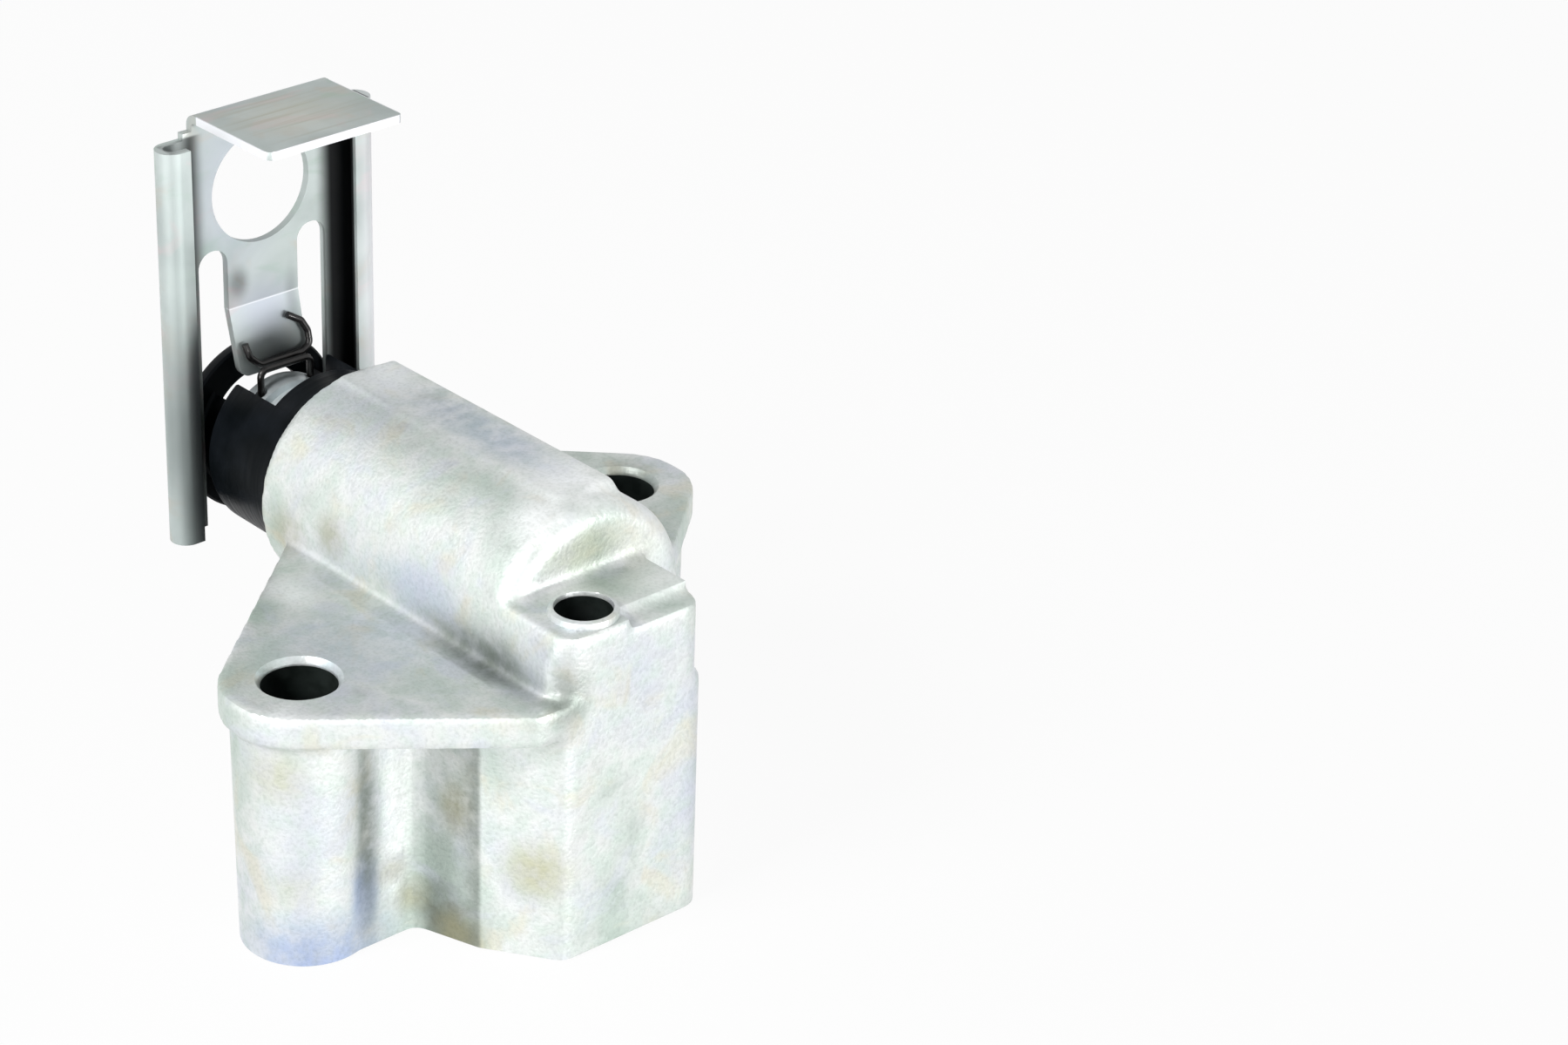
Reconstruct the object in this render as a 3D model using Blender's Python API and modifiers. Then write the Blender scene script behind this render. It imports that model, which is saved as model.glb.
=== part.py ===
"""Hydraulic timing chain tensioner: die-cast housing, sprung plunger and a folded steel chain rail.

Metres, +Z up. The origin lies on the mounting face below the barrel's axis.
+Y is the way the plunger moves out, towards the chain.
"""
import math

import bmesh
import bpy
from mathutils import Matrix, Vector

# Fits and gaps
SEAT_GAP = 0.0003
SLIDING_CLEARANCE = 0.0001

# Plunger
PLUNGER_RADIUS = 0.0110
PLUNGER_FRONT = 0.0450
PLUNGER_LENGTH = 0.0403
PLUNGER_BORE_RADIUS = 0.0083
PLUNGER_BORE_DEPTH = 0.0371
NECK_RADIUS = 0.0088
NECK_BORE_RADIUS = 0.00805
NECK_LENGTH = 0.0043
HEAD_THICKNESS = 0.0018
HEAD_BORE_RADIUS = 0.0072
NOTCH_HALF_WIDTH = 0.0066
NOTCH_LENGTH = 0.0080
NOTCH_FLOOR_ABOVE_AXIS = 0.0025
PLUNGER_CHAMFER = 0.0006

# Plug in the plunger's nose
PLUG_NOSE_RADIUS = 0.00775
PLUG_NOSE_LENGTH = 0.0052
PLUG_COLLAR_LENGTH = 0.0047
PLUG_GROOVE_DEPTH = 0.0009
PLUG_GROOVE_WIDTH = 0.0009
PLUG_EDGE = 0.0011

# Housing barrel
AXIS_HEIGHT = 0.0344
BARREL_WALL = 0.0021
BARREL_FRONT = 0.0314
BARREL_END = -0.0123
END_ROUNDING = 0.0016
BARREL_EDGE = 0.0005
BORE_BOTTOM = -0.0095
BLOCK_INSET = 0.0001
BORE_CHAMFER = 0.0007
FEED_RECESS_RADIUS = 0.0085
FEED_RECESS_DEPTH = 0.0010
STRIP_LEFT = -0.0020
STRIP_RIGHT = 0.0064
STRIP_RISE = 0.0002
STRIP_EDGE = 0.0004

# Mounting plate, ears and bolt columns
PLATE_TOP = 0.0321
PLATE_THICKNESS = 0.0041
PLATE_EDGE = 0.0006
PLATE_FRONT = 0.0270
EAR_RADIUS = 0.0088
LEFT_BOLT_X = -0.0308
RIGHT_BOLT_X = 0.0254
RIGHT_BOLT_Y = 0.0133
BOLT_HOLE_RADIUS = 0.00425
BOLT_HOLE_CHAMFER = 0.0006
LEFT_FRONT_EDGE = math.radians(130)
LEFT_REAR_EDGE = math.radians(232)
RIGHT_REAR_EDGE = math.radians(-50)
RIGHT_FRONT_EDGE = math.radians(46)
COLUMN_RADIUS = 0.0072
MILLING_ALLOWANCE = 0.0005
COLUMN_DRAFT = 0.0004
EDGE_OVERLAP = 0.0020

# Lower body and rear block
REAR_FACE = -0.0228
FRONT_FACE = 0.0240
BODY_HALF_WIDTH = 0.0127
BLOCK_LEFT = -0.0125
BLOCK_RIGHT = 0.0068
BLOCK_SHOULDER_X = -0.0181
BLOCK_SHOULDER_Y = -0.0148
BLOCK_RIGHT_END = -0.0090
WEB_CORNER_X = -0.0208
WEB_REAR = -0.0070
WEB_FRONT = 0.0050
RIB_HALF_WIDTH = 0.0046
CORNER_RADIUS = 0.0020
BLOCK_LEFT_CORNER = 0.0040
BLOCK_RIGHT_CORNER = 0.0025
PAD_HEIGHT = 0.0396
PAD_EDGE = 0.0010
PAD_LEFT_ROUNDING = 0.0026
END_FILLET = 0.0010
END_FILLET_LEFT = -0.0096
LEDGE_HEIGHT = 0.0385
LEDGE_FRONT = -0.0199
LEDGE_LEFT = -0.0036

# Drilled oil gallery and its ball
GALLERY_X = -0.0066
GALLERY_Y = -0.0184
COLLAR_RADIUS = 0.0039
COLLAR_HEIGHT = 0.0008
GALLERY_MOUTH_RADIUS = 0.0032
GALLERY_RADIUS = 0.0022
GALLERY_STEP_HEIGHT = 0.0328
CROSS_PASSAGE_RADIUS = 0.0015
CROSS_PASSAGE_HEIGHT = 0.0302

# Folded steel rail
SHEET = 0.0010
CURL_RADIUS = 0.0020
CURL_LIP = 0.0013
RAIL_SIDE_CLEARANCE = 0.0006
RAIL_BELOW_AXIS = 0.0105
CURL_TOP_ABOVE_AXIS = 0.0392
LIP_TOP_ABOVE_AXIS = 0.0421
SHOULDER_HALF_WIDTH = 0.0106
SHOULDER_TOP_ABOVE_AXIS = 0.0400
LIP_HALF_WIDTH = 0.0094
LIP_LENGTH = 0.0160
LIP_CORNER = 0.0006
FOLD_RADIUS = 0.0015
RAIL_HOLE_RADIUS = 0.0069
RAIL_HOLE_ABOVE_AXIS = 0.0310
WINDOW_TOP_ABOVE_AXIS = 0.0246
WINDOW_CORNER = 0.0020
TONGUE_HALF_WIDTH = 0.0050
TONGUE_TIP_HALF_WIDTH = 0.0048
TONGUE_BEND_ABOVE_AXIS = 0.0166
TONGUE_TIP_ABOVE_AXIS = 0.0084
TONGUE_LEAN = math.radians(13)
TONGUE_CORNER = 0.0010

# Wire clip and staple
WIRE_RADIUS = 0.00043
WIRE_BEND = 0.0009
CLIP_BAR_ABOVE_AXIS = 0.0096
CLIP_LEFT = -0.0041
CLIP_RIGHT = 0.0049
CLIP_LEFT_END_ABOVE_AXIS = 0.0125
CLIP_RIGHT_TOP_ABOVE_AXIS = 0.0124
CLIP_HOOK_X = 0.0024
CLIP_HOOK_ABOVE_AXIS = 0.0143
STAPLE_SETBACK = 0.0027
STAPLE_HALF_WIDTH = 0.0036
STAPLE_BAR_ABOVE_AXIS = 0.0097
STAPLE_LEG_ABOVE_AXIS = 0.0046

# Check valve and springs
SEAT_DISC_THICKNESS = 0.0020
SEAT_HOLE_RADIUS = 0.0018
CHECK_BALL_RADIUS = 0.0025
CHECK_BALL_GAP = 0.00005
CAGE_SHEET = 0.0006
CAGE_FLANGE_RADIUS = 0.0070
CAGE_CUP_RADIUS = 0.0037
CAGE_LENGTH = 0.0080
CAGE_END_HOLE_RADIUS = 0.0009
CAGE_SLOT_RADIUS = 0.0009
CAGE_SLOTS = 3
SPRING_MEAN_RADIUS = 0.0062
SPRING_WIRE_RADIUS = 0.0007
SPRING_TURNS = 9
CHECK_SPRING_RADIUS = 0.0013
CHECK_SPRING_WIRE = 0.0002
CHECK_SPRING_TURNS = 3.5

# Facets round a turned piece and round a corner
TURN_STEPS = 64
SMALL_TURN_STEPS = 32
TINY_TURN_STEPS = 16
RAIL_HOLE_STEPS = 48
CUTTER_SPIN = math.radians(2.1)
CORNER_STEPS = 5
EAR_STEPS = 16
BARREL_END_STEPS = 8
ROUNDING_SHARE = 0.9

# Places that follow from the sizes above
BORE_RADIUS = PLUNGER_RADIUS + SLIDING_CLEARANCE
BARREL_RADIUS = BORE_RADIUS + BARREL_WALL
PLUG_RADIUS = PLUNGER_BORE_RADIUS - SEAT_GAP
PLUNGER_BACK = PLUNGER_FRONT - PLUNGER_LENGTH
BORE_SHOULDER = PLUNGER_BACK + PLUNGER_BORE_DEPTH
PLUG_COLLAR_FRONT = BORE_SHOULDER - SEAT_GAP
PLUG_BACK = PLUG_COLLAR_FRONT - PLUG_COLLAR_LENGTH
PLUG_FRONT = PLUG_COLLAR_FRONT + PLUG_NOSE_LENGTH
HEAD_BACK = PLUNGER_FRONT + NECK_LENGTH
WEB_FRONT_FACE = HEAD_BACK - SEAT_GAP
WEB_BACK = WEB_FRONT_FACE - SHEET
BARREL_REAR = BARREL_END + END_ROUNDING
WINDOW_HALF_WIDTH = NECK_RADIUS + SEAT_GAP
PLATE_BOTTOM = PLATE_TOP - PLATE_THICKNESS
GALLERY_BALL_RADIUS = GALLERY_MOUTH_RADIUS - SEAT_GAP
SEAT_DISC_BACK = BORE_BOTTOM + SEAT_GAP
SEAT_DISC_FRONT = SEAT_DISC_BACK + SEAT_DISC_THICKNESS
CAGE_BACK = SEAT_DISC_FRONT + SEAT_GAP
OVERSHOOT = 0.0010

PARTS = "timing_chain_tensioner"
CUTTERS = "tensioner_cutters"


def clear_scene():
    for item in list(bpy.data.objects):
        bpy.data.objects.remove(item, do_unlink=True)


def collection(name):
    made = bpy.data.collections.new(name)
    bpy.context.scene.collection.children.link(made)
    return made


def material(name, colour, metallic, roughness):
    made = bpy.data.materials.new(name)
    made.use_nodes = True
    shader = made.node_tree.nodes["Principled BSDF"]
    shader.inputs["Base Color"].default_value = (*colour, 1.0)
    shader.inputs["Metallic"].default_value = metallic
    shader.inputs["Roughness"].default_value = roughness
    return made


def rounded(corners, closed=True):
    """Turns (point, radius) corners into a path with an arc at each corner that has a radius."""
    path = []
    count = len(corners)
    for index, (point, radius) in enumerate(corners):
        here = Vector(point)
        at_end = not closed and index in (0, count - 1)
        if at_end or radius <= 0:
            path.append(here)
            continue
        before = (Vector(corners[index - 1][0]) - here).normalized()
        after = (Vector(corners[(index + 1) % count][0]) - here).normalized()
        half_angle = before.angle(after) / 2
        tangent = radius / math.tan(half_angle)
        centre = here + (before + after).normalized() * (radius / math.sin(half_angle))
        start = (here + before * tangent - centre).normalized()
        end = (here + after * tangent - centre).normalized()
        for step in range(CORNER_STEPS + 1):
            path.append(centre + start.slerp(end, step / CORNER_STEPS) * radius)
    return path


def flat(points, radius=0.0):
    """Gives plane points one corner radius, unless a point brings its own."""
    return [((p[0], p[1], 0.0), p[2] if len(p) > 2 else radius) for p in points]


def place(name, mesh, group):
    item = bpy.data.objects.new(name, mesh)
    bpy.data.collections[group].objects.link(item)
    if group == CUTTERS:
        item.hide_render = True
        item.display_type = 'WIRE'
    return item


def mesh_of_curve(name, curve, group, matrix=Matrix()):
    """Makes a closed mesh object of a curve, with its caps welded."""
    holder = bpy.data.objects.new(name + "_curve", curve)
    bpy.context.scene.collection.objects.link(holder)
    holder.matrix_world = matrix
    bpy.context.view_layer.update()
    evaluated = holder.evaluated_get(bpy.context.evaluated_depsgraph_get())
    mesh = bpy.data.meshes.new_from_object(evaluated)
    shape = bmesh.new()
    shape.from_mesh(mesh)
    bmesh.ops.remove_doubles(shape, verts=shape.verts, dist=1e-7)
    bmesh.ops.transform(shape, matrix=matrix, verts=shape.verts)
    bmesh.ops.recalc_face_normals(shape, faces=shape.faces)
    shape.to_mesh(mesh)
    shape.free()
    bpy.data.objects.remove(holder, do_unlink=True)
    bpy.data.curves.remove(curve)
    mesh.materials.clear()
    return place(name, mesh, group)


def slab(name, corners, low, high, group=CUTTERS, matrix=Matrix()):
    """Extrudes a flat outline from low to high along its own Z."""
    curve = bpy.data.curves.new(name, 'CURVE')
    curve.dimensions = '2D'
    curve.fill_mode = 'BOTH'
    curve.extrude = (high - low) / 2
    path = rounded(corners)
    spline = curve.splines.new('POLY')
    spline.points.add(len(path) - 1)
    for point, spot in zip(spline.points, path):
        point.co = (spot.x, spot.y, 0.0, 1.0)
    spline.use_cyclic_u = True
    lift = Matrix.Translation((0, 0, (low + high) / 2))
    return mesh_of_curve(name, curve, group, matrix @ lift)


def turned(name, profile, group=CUTTERS, steps=TURN_STEPS):
    """Turns a (radius, height) profile, given from the top down its outer side, round its own Z."""
    mesh = bpy.data.meshes.new(name)
    edges = [(i, i + 1) for i in range(len(profile) - 1)]
    if profile[0] == profile[-1]:
        profile = profile[:-1]
        edges[-1] = (len(profile) - 1, 0)
    mesh.from_pydata([(radius, 0.0, height) for radius, height in profile], edges, [])
    item = place(name, mesh, group)
    screw = item.modifiers.new("turn", 'SCREW')
    screw.steps = steps
    screw.render_steps = steps
    screw.use_merge_vertices = True
    screw.merge_threshold = 0.000001
    return item


def along_y(item, x=0.0, z=AXIS_HEIGHT, spin=0.0):
    """Lays a turned piece so that its own Z points along +Y, turned by spin round it."""
    item.location = (x, 0.0, z)
    item.rotation_euler = (math.radians(-90), spin, 0)
    return item


def upright_at(item, x, y, spin=0.0):
    """Stands a turned piece at x and y, turned by spin round its own axis."""
    item.location = (x, y, 0.0)
    item.rotation_euler = (0, 0, spin)
    return item


def cylinder_profile(radius, low, high, edge=0.0):
    profile = [(0.0, high), (radius - edge, high)]
    if edge > 0:
        profile.append((radius, high - edge))
        profile.append((radius, low + edge))
    else:
        profile.append((radius, low))
    if edge > 0:
        profile.append((radius - edge, low))
    profile.append((0.0, low))
    return profile


def box(name, low, high, group=CUTTERS, edge=0.0):
    mesh = bpy.data.meshes.new(name)
    shape = bmesh.new()
    bmesh.ops.create_cube(shape, size=1.0)
    size = [b - a for a, b in zip(low, high)]
    middle = [(a + b) / 2 for a, b in zip(low, high)]
    bmesh.ops.scale(shape, vec=size, verts=shape.verts)
    bmesh.ops.translate(shape, vec=middle, verts=shape.verts)
    shape.to_mesh(mesh)
    shape.free()
    item = place(name, mesh, group)
    if edge > 0:
        soften(item, edge)
    return item


def soften(item, width, segments=2, angle=40):
    bevel = item.modifiers.new("edge", 'BEVEL')
    bevel.width = width
    bevel.segments = segments
    bevel.limit_method = 'ANGLE'
    bevel.angle_limit = math.radians(angle)
    return item


def combine(item, tool, operation):
    step = item.modifiers.new(tool.name, 'BOOLEAN')
    step.operation = operation
    step.object = tool
    step.solver = 'EXACT'


def finish(item, finish_material, parent=None):
    item.data.materials.append(finish_material)
    if parent is not None:
        item.parent = parent
        item.matrix_parent_inverse = Matrix.Translation(-parent.location)
    return item


def smooth(item, angle=35):
    item.data.shade_smooth()
    item.data.set_sharp_from_angle(angle=math.radians(angle))
    return item


def wire(name, corners, radius, group):
    """Bends round wire along corners, with square cut ends."""
    curve = bpy.data.curves.new(name, 'CURVE')
    curve.dimensions = '3D'
    curve.bevel_depth = radius
    curve.bevel_resolution = 2
    curve.use_fill_caps = True
    path = rounded(corners, closed=False)
    spline = curve.splines.new('POLY')
    spline.points.add(len(path) - 1)
    for point, spot in zip(spline.points, path):
        point.co = (*spot, 1.0)
    return mesh_of_curve(name, curve, group)


def coil(name, mean_radius, wire_radius, start, end, turns, group):
    """Winds a compression spring round the barrel's axis, its end turns laid close."""
    curve = bpy.data.curves.new(name, 'CURVE')
    curve.dimensions = '3D'
    curve.bevel_depth = wire_radius
    curve.bevel_resolution = 2
    curve.use_fill_caps = True
    steps_per_turn = 16
    count = round(turns * steps_per_turn)
    close_pitch = 2 * wire_radius * 1.12
    low = start + wire_radius
    high = end - wire_radius
    open_turns = turns - 2
    open_pitch = (high - low - 2 * close_pitch) / open_turns
    spline = curve.splines.new('POLY')
    spline.points.add(count)
    for index, point in enumerate(spline.points):
        turn = index / steps_per_turn
        rise = close_pitch * min(turn, 1.0)
        rise += open_pitch * min(max(turn - 1.0, 0.0), open_turns)
        rise += close_pitch * max(turn - 1.0 - open_turns, 0.0)
        angle = 2 * math.pi * turn
        across = mean_radius * math.cos(angle)
        up = mean_radius * math.sin(angle)
        point.co = (across, low + rise, AXIS_HEIGHT + up, 1.0)
    return mesh_of_curve(name, curve, group)


def ear(x, y, first_edge, last_edge):
    """Round end of an ear, from the normal of one straight edge to the normal of the other."""
    points = []
    for step in range(EAR_STEPS + 1):
        angle = first_edge + (last_edge - first_edge) * step / EAR_STEPS
        points.append((x + EAR_RADIUS * math.cos(angle), y + EAR_RADIUS * math.sin(angle)))
    return points


def along_edge(point, normal, x):
    """Point at x on the straight edge that leaves point at right angles to its normal."""
    return (x, point[1] - (x - point[0]) / math.tan(normal))


def plate_corners():
    """Outline of the mounting plate: two ears joined to the barrel by slanting edges."""
    inside = BARREL_RADIUS - EDGE_OVERLAP
    left = ear(LEFT_BOLT_X, 0.0, LEFT_FRONT_EDGE, LEFT_REAR_EDGE)
    right = ear(RIGHT_BOLT_X, RIGHT_BOLT_Y, RIGHT_REAR_EDGE, RIGHT_FRONT_EDGE)
    rear_corner_x = left[-1][0] + (left[-1][1] - REAR_FACE) * math.tan(LEFT_REAR_EDGE)
    outline = [along_edge(left[0], LEFT_FRONT_EDGE, -inside)]
    outline += left
    outline.append((rear_corner_x, REAR_FACE + BLOCK_INSET * 2, CORNER_RADIUS))
    outline.append((0.0, REAR_FACE + BLOCK_INSET * 2))
    outline.append((0.0, along_edge(right[0], RIGHT_REAR_EDGE, 0.0)[1]))
    outline += right
    front_corner_x = right[-1][0] + (right[-1][1] - PLATE_FRONT) * math.tan(RIGHT_FRONT_EDGE)
    outline.append((front_corner_x, PLATE_FRONT, CORNER_RADIUS * 2))
    outline.append((inside, PLATE_FRONT))
    return flat(outline)


def body_corners():
    """Outline of the body between the plate and the mounting face."""
    rib = RIB_HALF_WIDTH
    corner = CORNER_RADIUS
    return flat([
        (BLOCK_LEFT, REAR_FACE + BLOCK_INSET, corner),
        (BLOCK_RIGHT, REAR_FACE + BLOCK_INSET, corner * 1.4),
        (BODY_HALF_WIDTH, BLOCK_RIGHT_END, corner * 2),
        (BODY_HALF_WIDTH, RIGHT_BOLT_Y - rib * 1.5, corner),
        (RIGHT_BOLT_X, RIGHT_BOLT_Y - rib, 0.0),
        (RIGHT_BOLT_X, RIGHT_BOLT_Y + rib, 0.0),
        (BODY_HALF_WIDTH, RIGHT_BOLT_Y + rib * 1.5, corner),
        (BODY_HALF_WIDTH, FRONT_FACE, corner),
        (-BODY_HALF_WIDTH, FRONT_FACE, corner),
        (-BODY_HALF_WIDTH, WEB_FRONT + corner * 2, corner),
        (LEFT_BOLT_X, WEB_FRONT, 0.0),
        (LEFT_BOLT_X, WEB_REAR, 0.0),
        (WEB_CORNER_X, WEB_REAR, corner * 0.8),
        (BLOCK_SHOULDER_X, BLOCK_SHOULDER_Y, corner * 0.6),
    ])


def barrel():
    """Turned barrel with a rounded rear end."""
    profile = [(0.0, BARREL_FRONT), (BARREL_RADIUS - BARREL_EDGE, BARREL_FRONT)]
    profile.append((BARREL_RADIUS, BARREL_FRONT - BARREL_EDGE))
    for step in range(BARREL_END_STEPS + 1):
        angle = math.pi / 2 * step / BARREL_END_STEPS
        radius = BARREL_RADIUS - END_ROUNDING * (1 - math.cos(angle))
        profile.append((radius, BARREL_REAR - END_ROUNDING * math.sin(angle)))
    profile.append((0.0, BARREL_END))
    return along_y(turned("barrel", profile))


def rear_block():
    """Block behind the barrel, with a round left flank and rounded rear corners."""
    arc_steps = 10
    radius = BARREL_RADIUS - BLOCK_INSET
    low_angle = math.asin((PLATE_BOTTOM - BLOCK_INSET - AXIS_HEIGHT) / radius)
    high_angle = math.asin((PAD_HEIGHT - PAD_LEFT_ROUNDING - AXIS_HEIGHT) / radius)
    section = []
    for step in range(arc_steps + 1):
        angle = low_angle + (high_angle - low_angle) * step / arc_steps
        section.append((-radius * math.cos(angle), AXIS_HEIGHT + radius * math.sin(angle)))
    left_x = section[-1][0] + PAD_LEFT_ROUNDING * math.tan(high_angle)
    section.append((left_x, PAD_HEIGHT, PAD_LEFT_ROUNDING * ROUNDING_SHARE))
    section.append((BLOCK_RIGHT, PAD_HEIGHT, PAD_EDGE))
    section.append((BLOCK_RIGHT, PLATE_BOTTOM - BLOCK_INSET))
    upright = Matrix.Rotation(math.radians(90), 4, 'X')
    rear, front = -REAR_FACE + OVERSHOOT, -BARREL_REAR - OVERSHOOT
    block = slab("rear_block", flat(section), front, rear, matrix=upright)
    footprint = slab("rear_block_footprint", flat([
        (-BARREL_RADIUS + BLOCK_INSET * 2, 0.0),
        (-BARREL_RADIUS + BLOCK_INSET * 2, REAR_FACE, BLOCK_LEFT_CORNER),
        (BLOCK_RIGHT + BLOCK_INSET, REAR_FACE, BLOCK_RIGHT_CORNER),
        (BLOCK_RIGHT + BLOCK_INSET, 0.0),
    ]), PLATE_BOTTOM - OVERSHOOT, PAD_HEIGHT + OVERSHOOT)
    combine(block, footprint, 'INTERSECT')
    return block


def end_fillet():
    """Hollow fillet from the barrel's flat end down to the pad behind it."""
    inside = BARREL_END + OVERSHOOT
    section = [(inside, PAD_HEIGHT - OVERSHOOT), (inside, PAD_HEIGHT + END_FILLET)]
    for step in range(CORNER_STEPS + 1):
        angle = math.pi / 2 * step / CORNER_STEPS
        section.append((BARREL_END - END_FILLET * (1 - math.cos(angle)),
                        PAD_HEIGHT + END_FILLET * (1 - math.sin(angle))))
    section.append((BARREL_END - END_FILLET, PAD_HEIGHT - OVERSHOOT))
    turn = Matrix(((0, 0, 1, 0), (1, 0, 0, 0), (0, 1, 0, 0), (0, 0, 0, 1)))
    return slab("end_fillet", flat(section), END_FILLET_LEFT, BLOCK_RIGHT - PAD_EDGE, matrix=turn)


def housing(finish_material):
    """Die casting: barrel, plate with ears, bolt columns, lower body and rear block."""
    body = slab("housing", body_corners(), -MILLING_ALLOWANCE, PLATE_BOTTOM + OVERSHOOT / 2, PARTS)
    plate = soften(slab("plate", plate_corners(), PLATE_BOTTOM, PLATE_TOP), PLATE_EDGE, angle=60)
    combine(body, plate, 'UNION')
    for side, x, y in (("left", LEFT_BOLT_X, 0.0), ("right", RIGHT_BOLT_X, RIGHT_BOLT_Y)):
        column = turned(side + "_column", [
            (0.0, PLATE_BOTTOM + OVERSHOOT),
            (COLUMN_RADIUS + COLUMN_DRAFT, PLATE_BOTTOM + OVERSHOOT),
            (COLUMN_RADIUS, -MILLING_ALLOWANCE * 2),
            (0.0, -MILLING_ALLOWANCE * 2),
        ])
        combine(body, upright_at(column, x, y), 'UNION')
    combine(body, barrel(), 'UNION')
    strip_top = AXIS_HEIGHT + BARREL_RADIUS + STRIP_RISE
    strip = box("number_strip", (STRIP_LEFT, BARREL_REAR, AXIS_HEIGHT + BORE_RADIUS + BARREL_WALL / 3),
                (STRIP_RIGHT, BARREL_FRONT - BARREL_EDGE, strip_top), edge=STRIP_EDGE)
    combine(body, strip, 'UNION')
    combine(body, rear_block(), 'UNION')
    combine(body, end_fillet(), 'UNION')
    collar_top = PAD_HEIGHT + COLLAR_HEIGHT
    collar_profile = cylinder_profile(COLLAR_RADIUS, PAD_HEIGHT - OVERSHOOT, collar_top, COLLAR_HEIGHT / 3)
    collar = turned("gallery_collar", collar_profile, steps=SMALL_TURN_STEPS)
    combine(body, upright_at(collar, GALLERY_X, GALLERY_Y), 'UNION')
    for cutter in housing_cutters():
        combine(body, cutter, 'DIFFERENCE')
    return finish(body, finish_material)


def housing_cutters():
    """Everything that is machined or cast away from the housing."""
    bore = along_y(turned("plunger_bore", [
        (0.0, BARREL_FRONT + OVERSHOOT),
        (BORE_RADIUS + BORE_CHAMFER, BARREL_FRONT + OVERSHOOT),
        (BORE_RADIUS + BORE_CHAMFER, BARREL_FRONT),
        (BORE_RADIUS, BARREL_FRONT - BORE_CHAMFER),
        (BORE_RADIUS, BORE_BOTTOM),
        (FEED_RECESS_RADIUS, BORE_BOTTOM),
        (FEED_RECESS_RADIUS, BORE_BOTTOM - FEED_RECESS_DEPTH),
        (0.0, BORE_BOTTOM - FEED_RECESS_DEPTH),
    ]), spin=CUTTER_SPIN)
    cutters = [bore]
    for side, x, y in (("left", LEFT_BOLT_X, 0.0), ("right", RIGHT_BOLT_X, RIGHT_BOLT_Y)):
        hole = turned(side + "_bolt_hole", [
            (0.0, PLATE_TOP + OVERSHOOT),
            (BOLT_HOLE_RADIUS + BOLT_HOLE_CHAMFER + OVERSHOOT, PLATE_TOP + OVERSHOOT),
            (BOLT_HOLE_RADIUS, PLATE_TOP - BOLT_HOLE_CHAMFER),
            (BOLT_HOLE_RADIUS, -MILLING_ALLOWANCE * 4),
            (0.0, -MILLING_ALLOWANCE * 4),
        ], steps=SMALL_TURN_STEPS)
        cutters.append(upright_at(hole, x, y, CUTTER_SPIN))
    gallery = turned("gallery", [
        (0.0, PAD_HEIGHT + COLLAR_HEIGHT + OVERSHOOT),
        (GALLERY_MOUTH_RADIUS, PAD_HEIGHT + COLLAR_HEIGHT + OVERSHOOT),
        (GALLERY_MOUTH_RADIUS, GALLERY_STEP_HEIGHT),
        (GALLERY_RADIUS, GALLERY_STEP_HEIGHT),
        (GALLERY_RADIUS, -MILLING_ALLOWANCE * 4),
        (0.0, -MILLING_ALLOWANCE * 4),
    ], steps=SMALL_TURN_STEPS)
    cutters.append(upright_at(gallery, GALLERY_X, GALLERY_Y, CUTTER_SPIN))
    passage = turned("cross_passage", cylinder_profile(
        CROSS_PASSAGE_RADIUS, GALLERY_Y, BORE_BOTTOM - FEED_RECESS_DEPTH / 2), steps=SMALL_TURN_STEPS)
    cutters.append(along_y(passage, x=GALLERY_X, z=CROSS_PASSAGE_HEIGHT))
    ledge = box("ledge_cut", (LEDGE_LEFT, REAR_FACE - OVERSHOOT, LEDGE_HEIGHT),
                (BLOCK_RIGHT + OVERSHOOT, LEDGE_FRONT, PAD_HEIGHT + OVERSHOOT))
    cutters.append(ledge)
    cutters.append(box("milled_seat", (LEFT_BOLT_X - 2 * EAR_RADIUS, REAR_FACE * 2, -MILLING_ALLOWANCE * 6),
                       (RIGHT_BOLT_X + 2 * EAR_RADIUS, BARREL_FRONT * 2, 0.0)))
    return cutters


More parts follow.
